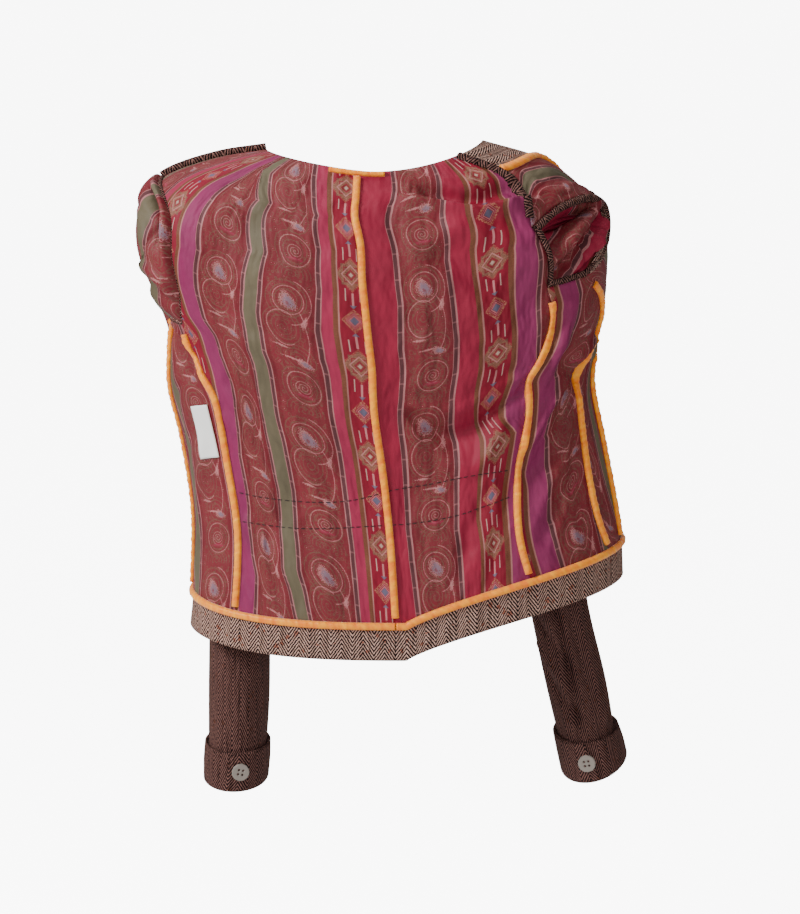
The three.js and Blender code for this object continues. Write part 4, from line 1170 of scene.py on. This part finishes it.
sleeveSize = {"wall": 2.0, "cuffWall": 2.6, "sides": 120, "perSection": 12, "skip": 8, "capRings": 22,
              "funnelRings": 12, "mouthDepth": 5.2, "tuck": 0.03, "creasesFrom": 6, "girth": 250,
              "cuffGirth": 260, "cuffRows": 16}
fullTurn = np.linspace(0, 2 * math.pi, sleeveSize["sides"] + 1)
# The lining that shows in each armhole: where its hole is, how it lies and how its stripes run
caps = {
    "left": {
        "hole": [(-73, 2.42), (-66, 2.5), (-60, 2.68), (-56.4, 2.98), (-55.4, 3.3), (-57, 3.2), (-60.5, 2.9),
                 (-66, 2.66)],
        "level": 1.0, "bulge": 6.0, "holeDepth": 9.0,
        "folds": [
            bend(9, 5, [(-53.8, 4.9), (-56.2, 4.53), (-62.8, 4.26), (-74, 4.15), (-84, 4.05)], lap=0.35),
            bend(8, -5, [(-56, 5), (-62, 4.75), (-72, 4.6), (-82, 4.5)]),
            bend(6, -2.5, [(-58, 3.5), (-66, 3.1), (-76, 2.9)]),
            bend(7, 2, [(-57, 4), (-68, 3.6), (-80, 3.5)]),
            bend(5, 2.4, [(-62, 5.2), (-68, 4.9)]),
        ],
        "stripes": [(-92, 108), (-72, 133), (-64, 145), (-62.7, 150), (-56, 173), (-52.8, 182)],
        "start": (-56.2, 3.25),
    },
    "right": {
        "hole": [(42.6, 3.02), (49.5, 2.7), (56, 2.56), (63, 2.54), (71, 2.68), (66, 2.84), (57, 2.92),
                 (49, 3.08)],
        "level": -9.0, "bulge": 4.0, "holeDepth": 16.0,
        "folds": [
            bend(8, 9, [(44.5, 3.83), (52.8, 3.43), (59.8, 3.16), (74.5, 2.88), (80, 2.8)], lap=0.5),
            bend(6, -8, [(45, 4.2), (53, 3.82), (61, 3.5), (76, 3.1)]),
            bend(6, 7, [(47, 4.35), (55, 4.1), (63.8, 3.75), (77, 3.3)]),
            bend(5, -5, [(54, 4.25), (62, 4.02), (74, 3.62)]),
            bend(4, -3, [(43.5, 3.35), (50, 3.2), (56, 3.06)]),
            bend(3, 2, [(49, 3.75), (56, 3.4), (62, 3.22)]),
            bend(4, 4, [(52, 3.3), (60, 2.98), (68, 2.86)]),
            bend(3, -4, [(58, 3.4), (60, 3.7), (58, 4.1)]),
            bend(3.5, 4, [(64, 3.3), (67, 3.6), (66, 4)]),
            bend(3, -4, [(70, 3.2), (73, 3.5), (74, 3.9)]),
            bend(3, 3.5, [(53, 3.5), (53, 3.9), (51, 4.2)]),
            bend(4, 3.5, [(66, 3.75), (72, 3.5), (80, 3.3)]),
            bend(4, 3, [(60, 4.15), (66, 3.9), (74, 3.8)]),
            bend(3, -3, [(50, 4.25), (54, 3.98), (58, 3.85)]),
        ],
        "slant": (0.5, 0.85), "scale": 1.3, "offset": -26.0,
    },
}
# Creases on the sleeves, their runs as (degrees round, mm below the armhole)
creaseScale = (0.7, 1.0)
sleeveCreases = {
    "left": [
        bend(9, -3, [(-60, 60), (0, 90), (50, 75)]),
        bend(9, -3, [(-30, 170), (30, 190), (90, 180)]),
        bend(8, 2, [(-70, 200), (-20, 215), (40, 205)]),
        bend(10, -3, [(120, 150), (180, 175), (240, 160)]),
        bend(9, -2.5, [(-20, 330), (-5, 390)]),
        bend(6, -3.5, [(-40, 400), (-10, 430), (20, 440)]),
        bend(5, 2.5, [(-45, 440), (-12, 465), (16, 470)]),
        bend(6, 2.5, [(24, 340), (30, 420), (28, 480)]),
    ],
    "right": [
        bend(9, -3, [(-60, 70), (0, 95), (60, 80)]),
        bend(9, -3, [(-40, 170), (20, 195), (80, 180)]),
        bend(10, -3, [(120, 160), (180, 185), (240, 170)]),
        bend(6, 4.5, [(26, 330), (32, 420), (36, 500)]),
        bend(9, -6, [(44, 330), (50, 420), (56, 500)]),
        bend(6, -5, [(-55, 395), (-24, 418), (0, 445)]),
        bend(5, 4, [(-60, 425), (-28, 450), (-2, 480)]),
        bend(5, -4.5, [(-55, 455), (-24, 482), (0, 500)]),
        bend(7, -4, [(-58, 345), (-34, 366), (-12, 380)]),
        bend(4, -8, [(-6, 385), (-8, 440), (-10, 500)]),
    ],
}


def sectionRing(section, angle, grown=0.0):
    x, y, z, halfX, halfY, tilt, dip = section
    return np.stack([x + (halfX + grown) * np.sin(angle), y - (halfY + grown) * np.cos(angle),
                     z + tilt * np.sin(angle) - dip * np.cos(angle)], -1)


def lineUp(ring, before):
    # the ring's order, turned so that its points run on from those of the ring before it
    best = None
    for order in (ring[:-1], ring[:-1][::-1]):
        for shift in range(len(order)):
            turned = np.roll(order, shift, axis=0)
            cost = ((turned - before[:-1]) ** 2).sum()
            if best is None or cost < best[0]:
                best = (cost, turned)
    return np.vstack([best[1], best[1][:1]])


def creaseShift(angle, along, table):
    total = np.zeros(angle.shape)
    for crease in table:
        run = np.array(crease["run"], float) * creaseScale
        nearest = np.full(total.shape, 1e9)
        for start, end in zip(run[:-1], run[1:]):
            leg = end - start
            for wrap in (-360, 0, 360):
                place = np.stack([(angle + wrap) * creaseScale[0], along], -1) - start
                share = np.clip((place @ leg) / (leg @ leg), 0, 1)
                nearest = np.minimum(nearest, np.linalg.norm(place - share[..., None] * leg, axis=-1))
        total += crease["height"] * np.exp(-(nearest / crease["width"]) ** 2)
    return total


def fromSleeve(table):
    # which way is out of the sleeve, told from its lower part only
    def direction(centre):
        if centre.z > -0.25:
            return (0.0, 0.0, 0.0)
        x = np.interp(-centre.z / mm, -table[:, 2], table[:, 0])
        return (centre.x - x * mm, centre.y, 0.0)
    return direction


def evenStations(stations, count):
    # stations evenly spaced round a closed run
    loop = np.vstack([stations, stations[:1]])
    lengths = lengthsAlong(bodyPoints(loop))
    return pointsAt(np.linspace(0, lengths[-1], count + 1), lengths, loop)


def capPlaces(cap, stations, down):
    # the lining's map on a cap
    if "stripes" in cap:
        table = np.array(cap["stripes"], float)
        across = np.interp(stations[..., 0], table[:, 0], table[:, 1])
        start = downFrom(np.array([cap["start"]], float))[0]
        return np.stack([across, down - start], -1)
    u, v = np.moveaxis(stations * stationScale, -1, 0)
    first, second = cap["slant"]
    return np.stack([cap["scale"] * (first * u + second * v) + cap["offset"], second * u - first * v], -1)


def buildCap(side):
    # rings of points from the armhole's edge to the rim of the hole, and their map
    cap = caps[side]
    sides = sleeveSize["sides"]
    mouth = evenStations(seamRuns[side]["mouth"], sides)
    mouth = mouth + (mouth - mouth[:-1].mean(axis=0)) * sleeveSize["tuck"]
    hole = evenStations(smoothLine(cap["hole"] + cap["hole"][:1])[:-1], sides)
    hole = lineUp(hole * stationScale, mouth * stationScale) / stationScale
    share = np.linspace(0, 1, sleeveSize["capRings"])[:, None]
    stations = mouth[None] * (1 - share[..., None]) + hole[None] * share[..., None]
    rise = 1 - np.exp(-share / 0.09)
    drop = np.exp(-(1 - share) / 0.1)
    level = cap["level"] + cap["bulge"] * np.sin(np.pi * share ** 0.8)
    height = (level + foldHeights(stations, cap["folds"])) * rise - sleeveSize["mouthDepth"] * (1 - rise)
    height = height * (1 - drop) - cap["holeDepth"] * drop
    points = bodyPoints(stations) + bodyNormals(stations) * height[..., None]
    return points, capPlaces(cap, stations, downFrom(stations))


def buildSleeve(side):
    table = sleeves[side]
    count = (len(table) - 1) * sleeveSize["perSection"]
    sections = smoothRows(table, np.linspace(0, len(table) - 1, count + 1))[sleeveSize["skip"]:]
    capPoints, capMap = buildCap(side)
    rings = [capPoints[-1]]
    for section in sections:
        rings.append(lineUp(sectionRing(section, fullTurn), rings[-1]))
    shares = np.arange(1, sleeveSize["funnelRings"]) / sleeveSize["funnelRings"]
    funnel = [rings[0] * (1 - share) + rings[1] * share for share in shares]
    tube = np.stack(funnel + rings[1:])
    outward = tube - tube[:, :-1].mean(axis=1, keepdims=True)
    outward /= np.linalg.norm(outward, axis=-1, keepdims=True)
    turned = np.degrees(np.arctan2(outward[..., 0], -outward[..., 1]))
    shareRound = fullTurn / fullTurn[-1]
    girth, depth = np.broadcast_arrays(sleeveSize["girth"] * shareRound, measured(tube)[1][:, :1])
    shift = creaseShift(turned, depth, sleeveCreases[side])
    fade = np.clip((np.arange(len(tube)) - sleeveSize["funnelRings"]) / sleeveSize["creasesFrom"], 0, 1)
    tube = tube + outward * (shift * fade[:, None])[..., None]
    points = np.concatenate([capPoints, tube])
    places = np.concatenate([capMap, np.stack([girth, depth], -1)])
    made[f"sleeve_{side}"] = gridPiece(f"sleeve_{side}", points, places, [shadedTweed, lining],
                                       sleeveSize["wall"], closed=True, outwards=fromSleeve(table))

    bands = smoothRows(cuffs[side], np.linspace(0, 2, sleeveSize["cuffRows"] + 1))
    cuff = np.stack([sectionRing(section, fullTurn) for section in bands])
    girth, down = np.broadcast_arrays(sleeveSize["cuffGirth"] * shareRound, measured(cuff)[1])
    made[f"cuff_{side}"] = gridPiece(f"cuff_{side}", cuff, np.stack([girth, down], -1), [shadedTweed],
                                     sleeveSize["cuffWall"], closed=True, outwards=fromSleeve(table))


flapSize = {"lift": 2.6, "base": 0.3, "wall": 1.4, "rows": 14, "columns": 30, "inset": 0.04}
# Angles round the cuff in degrees: where its overlapping end starts and stops, how far its tip goes on
flapAngles = {"left": (110, -4, -14), "right": (-110, -8, 14)}


def buildFlap(side):
    # the cuff's overlapping end, with its tip at the foot, round from its seam to just past the button
    start, stop, tip = flapAngles[side]
    inset, rows, columns = flapSize["inset"], flapSize["rows"], flapSize["columns"]
    grown = flapSize["base"] + np.linspace(0, 1, columns + 1) ** 4 * flapSize["lift"]
    lines = []
    for number, section in enumerate(smoothRows(cuffs[side], np.linspace(inset, 2 - inset, rows + 1))):
        angle = np.radians(np.linspace(start, stop + tip * number / rows, columns + 1))
        lines.append(sectionRing(section, angle, grown))
    points = np.stack(lines)
    extras[f"cuff_flap_{side}"] = gridPiece(f"cuff_flap_{side}", points, evenPlaces(points), [shadedTweed],
                                            flapSize["wall"], outwards=fromSleeve(sleeves[side]))


# Loose threads of the raw edges: length, thickness and number, in mm
frays = {
    "frayed_threads_left": {"length": 6.5, "thick": 0.55, "count": 26, "look": rawEdge},
    "frayed_shoulder_left": {"length": 3.5, "thick": 0.45, "count": 40, "look": rawEdge},
    "frayed_shoulder_right": {"length": 3.0, "thick": 0.45, "count": 46, "look": thread},
}
frayLift = 2.2
frayTop = [(-88, 2.2), (-84, 2.18), (-78, 2.2), (-72, 2.26)]


def frayedPiece(name, stations):
    # threads that stand out of a raw edge, each with its own lean
    fray = frays[name]
    bm = bmesh.new()
    points, normals = surfacePoints(stations, frayLift), bodyNormals(stations)
    for number in range(fray["count"]):
        index = int((number + 0.5) / fray["count"] * (len(points) - 1))
        start = points[index]
        along = points[min(index + 1, len(points) - 1)] - points[max(index - 1, 0)]
        along = along / np.linalg.norm(along)
        side = np.cross(along, normals[index])
        lean = math.sin(number * 7.3), math.sin(number * 3.1 + 1), math.sin(number * 5.7 + 2)
        way = normals[index] * (0.7 + 0.4 * lean[0]) + along * lean[1] + side * lean[2]
        way = way / np.linalg.norm(way) * fray["length"] * (0.75 + 0.5 * abs(lean[1]))
        addStitch(bm, start - way * 0.25, start + way, fray["thick"])
    extras[name] = meshPiece(name, bm, [fray["look"]])


for side in ("left", "right"):
    buildSleeve(side)
    buildFlap(side)
frayedPiece("frayed_threads_left", smoothLine(frayTop, 8))
for side in ("left", "right"):
    frayedPiece(f"frayed_shoulder_{side}", shortened(seamRuns[side]["shoulder"], 6, 8))
print("sleeves ready")

# Bodies, and the pearl finish of the buttons
for name, piece in made.items():
    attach(piece, "root")
    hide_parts(name)
for piece in extras.values():
    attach(piece, "root")
for side in ("left", "right"):
    button = bpy.data.objects[f"button_{side}"]
    button.data.materials.clear()
    button.data.materials.append(pearl)


# The cut of each cloth piece before it was sewn, in metres: width, length, area, and how it is held
cuts = {
    "back_left": (0.215, 0.50, 0.083, "draped"), "back_right": (0.20, 0.47, 0.069, "draped"),
    "side_left": (0.080, 0.33, 0.0229, "draped"), "side_right": (0.080, 0.34, 0.0226, "draped"),
    "front_left": (0.110, 0.46, 0.030, "draped"), "front_right": (0.105, 0.46, 0.027, "draped"),
    "facing_left": (0.105, 0.50, 0.032, "draped"), "facing_right": (0.105, 0.48, 0.031, "draped"),
    "hem_left": (0.31, 0.036, 0.0106, "hung"), "hem_right": (0.28, 0.034, 0.0087, "hung"),
    "collar": (0.30, 0.056, 0.0155, "draped"), "care_label": (0.024, 0.053, None, "hung"),
    "sleeve_left": (0.26, 0.52, 0.118, "gathered"), "sleeve_right": (0.26, 0.52, 0.118, "gathered"),
    "cuff_left": (0.26, 0.037, None, "gathered"), "cuff_right": (0.26, 0.036, None, "gathered"),
}


def goingWith(name):
    # the bindings, seam edges, stitches and buttons sewn on a cloth piece
    kind, _, side = name.partition("_")
    sewn = {
        "back": [f"binding_princess_{side}", f"shoulder_seam_{side}"],
        "side": [f"binding_side_{side}"],
        "front": [f"binding_facing_{side}"],
        "hem": [f"binding_hem_{side}"],
        "sleeve": [f"armhole_seam_{side}"],
    }
    found = [made[title] for title in sewn.get(kind, [])]
    if name == "back_left":
        found += [made["binding_centre_back"], made["binding_neck"], extras["waist_stitches"]]
    if kind == "cuff":
        found += [bpy.data.objects[f"button_{side}"], extras[f"cuff_flap_{side}"]]
    if kind == "back":
        frayed = [title for title in extras if title.startswith("frayed") and title.endswith(side)]
        found += [extras[title] for title in frayed]
    return found


for name, (width, length, area, held) in cuts.items():
    goingWith(name)

# Floor, light and camera
studio = {"floorHeight": -0.95, "floorSize": 14.0, "floorGlow": 8.2, "ambient": 0.36, "backdrop": 8.5}
paleFloor, floorTree, floorInputs = newMaterial("pale floor", {
    "Roughness": 0.9, "Base Color": (0.8, 0.8, 0.8, 1.0), "Emission Strength": studio["floorGlow"]})
seen = addNode(floorTree, "ShaderNodeLightPath").outputs["Is Camera Ray"]
floorTree.links.new(seen, floorInputs["Emission Color"])
bm = bmesh.new()
bmesh.ops.create_grid(bm, x_segments=1, y_segments=1, size=studio["floorSize"] / 2)
bmesh.ops.translate(bm, verts=bm.verts, vec=(0, 0, studio["floorHeight"]))
floor = meshPiece("floor", bm, [paleFloor])

world = bpy.data.worlds.new("studio")
world.use_nodes = True
background = world.node_tree.nodes["Background"]
background.inputs[0].default_value = (1.0, 1.0, 1.0, 1.0)
isSeen = addNode(world.node_tree, "ShaderNodeLightPath").outputs["Is Camera Ray"]
more = studio["backdrop"] - studio["ambient"]
glow = calc(world.node_tree, "MULTIPLY_ADD", isSeen, more, studio["ambient"])
world.node_tree.links.new(glow, background.inputs[1])
bpy.context.scene.world = world


# Metres and watts
lights = {
    "key": {"place": (-2.3, -1.3, 1.4), "aim": (0, 0, -0.3), "size": 0.9, "power": 125},
    "fill": {"place": (0.6, -2.6, 0.5), "aim": (0, 0, -0.35), "size": 1.2, "power": 22},
    "top": {"place": (-0.3, 0.4, 2.2), "aim": (0, 0, -0.2), "size": 1.2, "power": 26},
}
view = {"elevation": 8.0, "distance": 2.6, "target": (0.028, 0.0, -0.310), "frameHeight": 0.914,
        "sensor": 36.0, "clipEnd": 50}


def aimedObject(name, data, place, direction):
    holder = bpy.data.objects.new(name, data)
    holder.matrix_world = Matrix.Translation(place) @ direction.to_track_quat("-Z", "Y").to_matrix().to_4x4()
    bpy.context.scene.collection.objects.link(holder)
    return holder


for name, light in lights.items():
    lamp = bpy.data.lights.new(name, "AREA")
    lamp.shape = "DISK"
    lamp.size = light["size"]
    lamp.energy = light["power"]
    aimedObject(name, lamp, light["place"], Vector(light["aim"]) - Vector(light["place"]))

lens = bpy.data.cameras.new("camera")
lens.sensor_width = view["sensor"]
lens.lens = view["sensor"] * view["distance"] / view["frameHeight"]
lens.clip_end = view["clipEnd"]
tilt = math.radians(view["elevation"])
away = Vector((0, -math.cos(tilt), math.sin(tilt))) * view["distance"]
bpy.context.scene.camera = aimedObject("camera", lens, Vector(view["target"]) + away, -away)

print("scene ready")
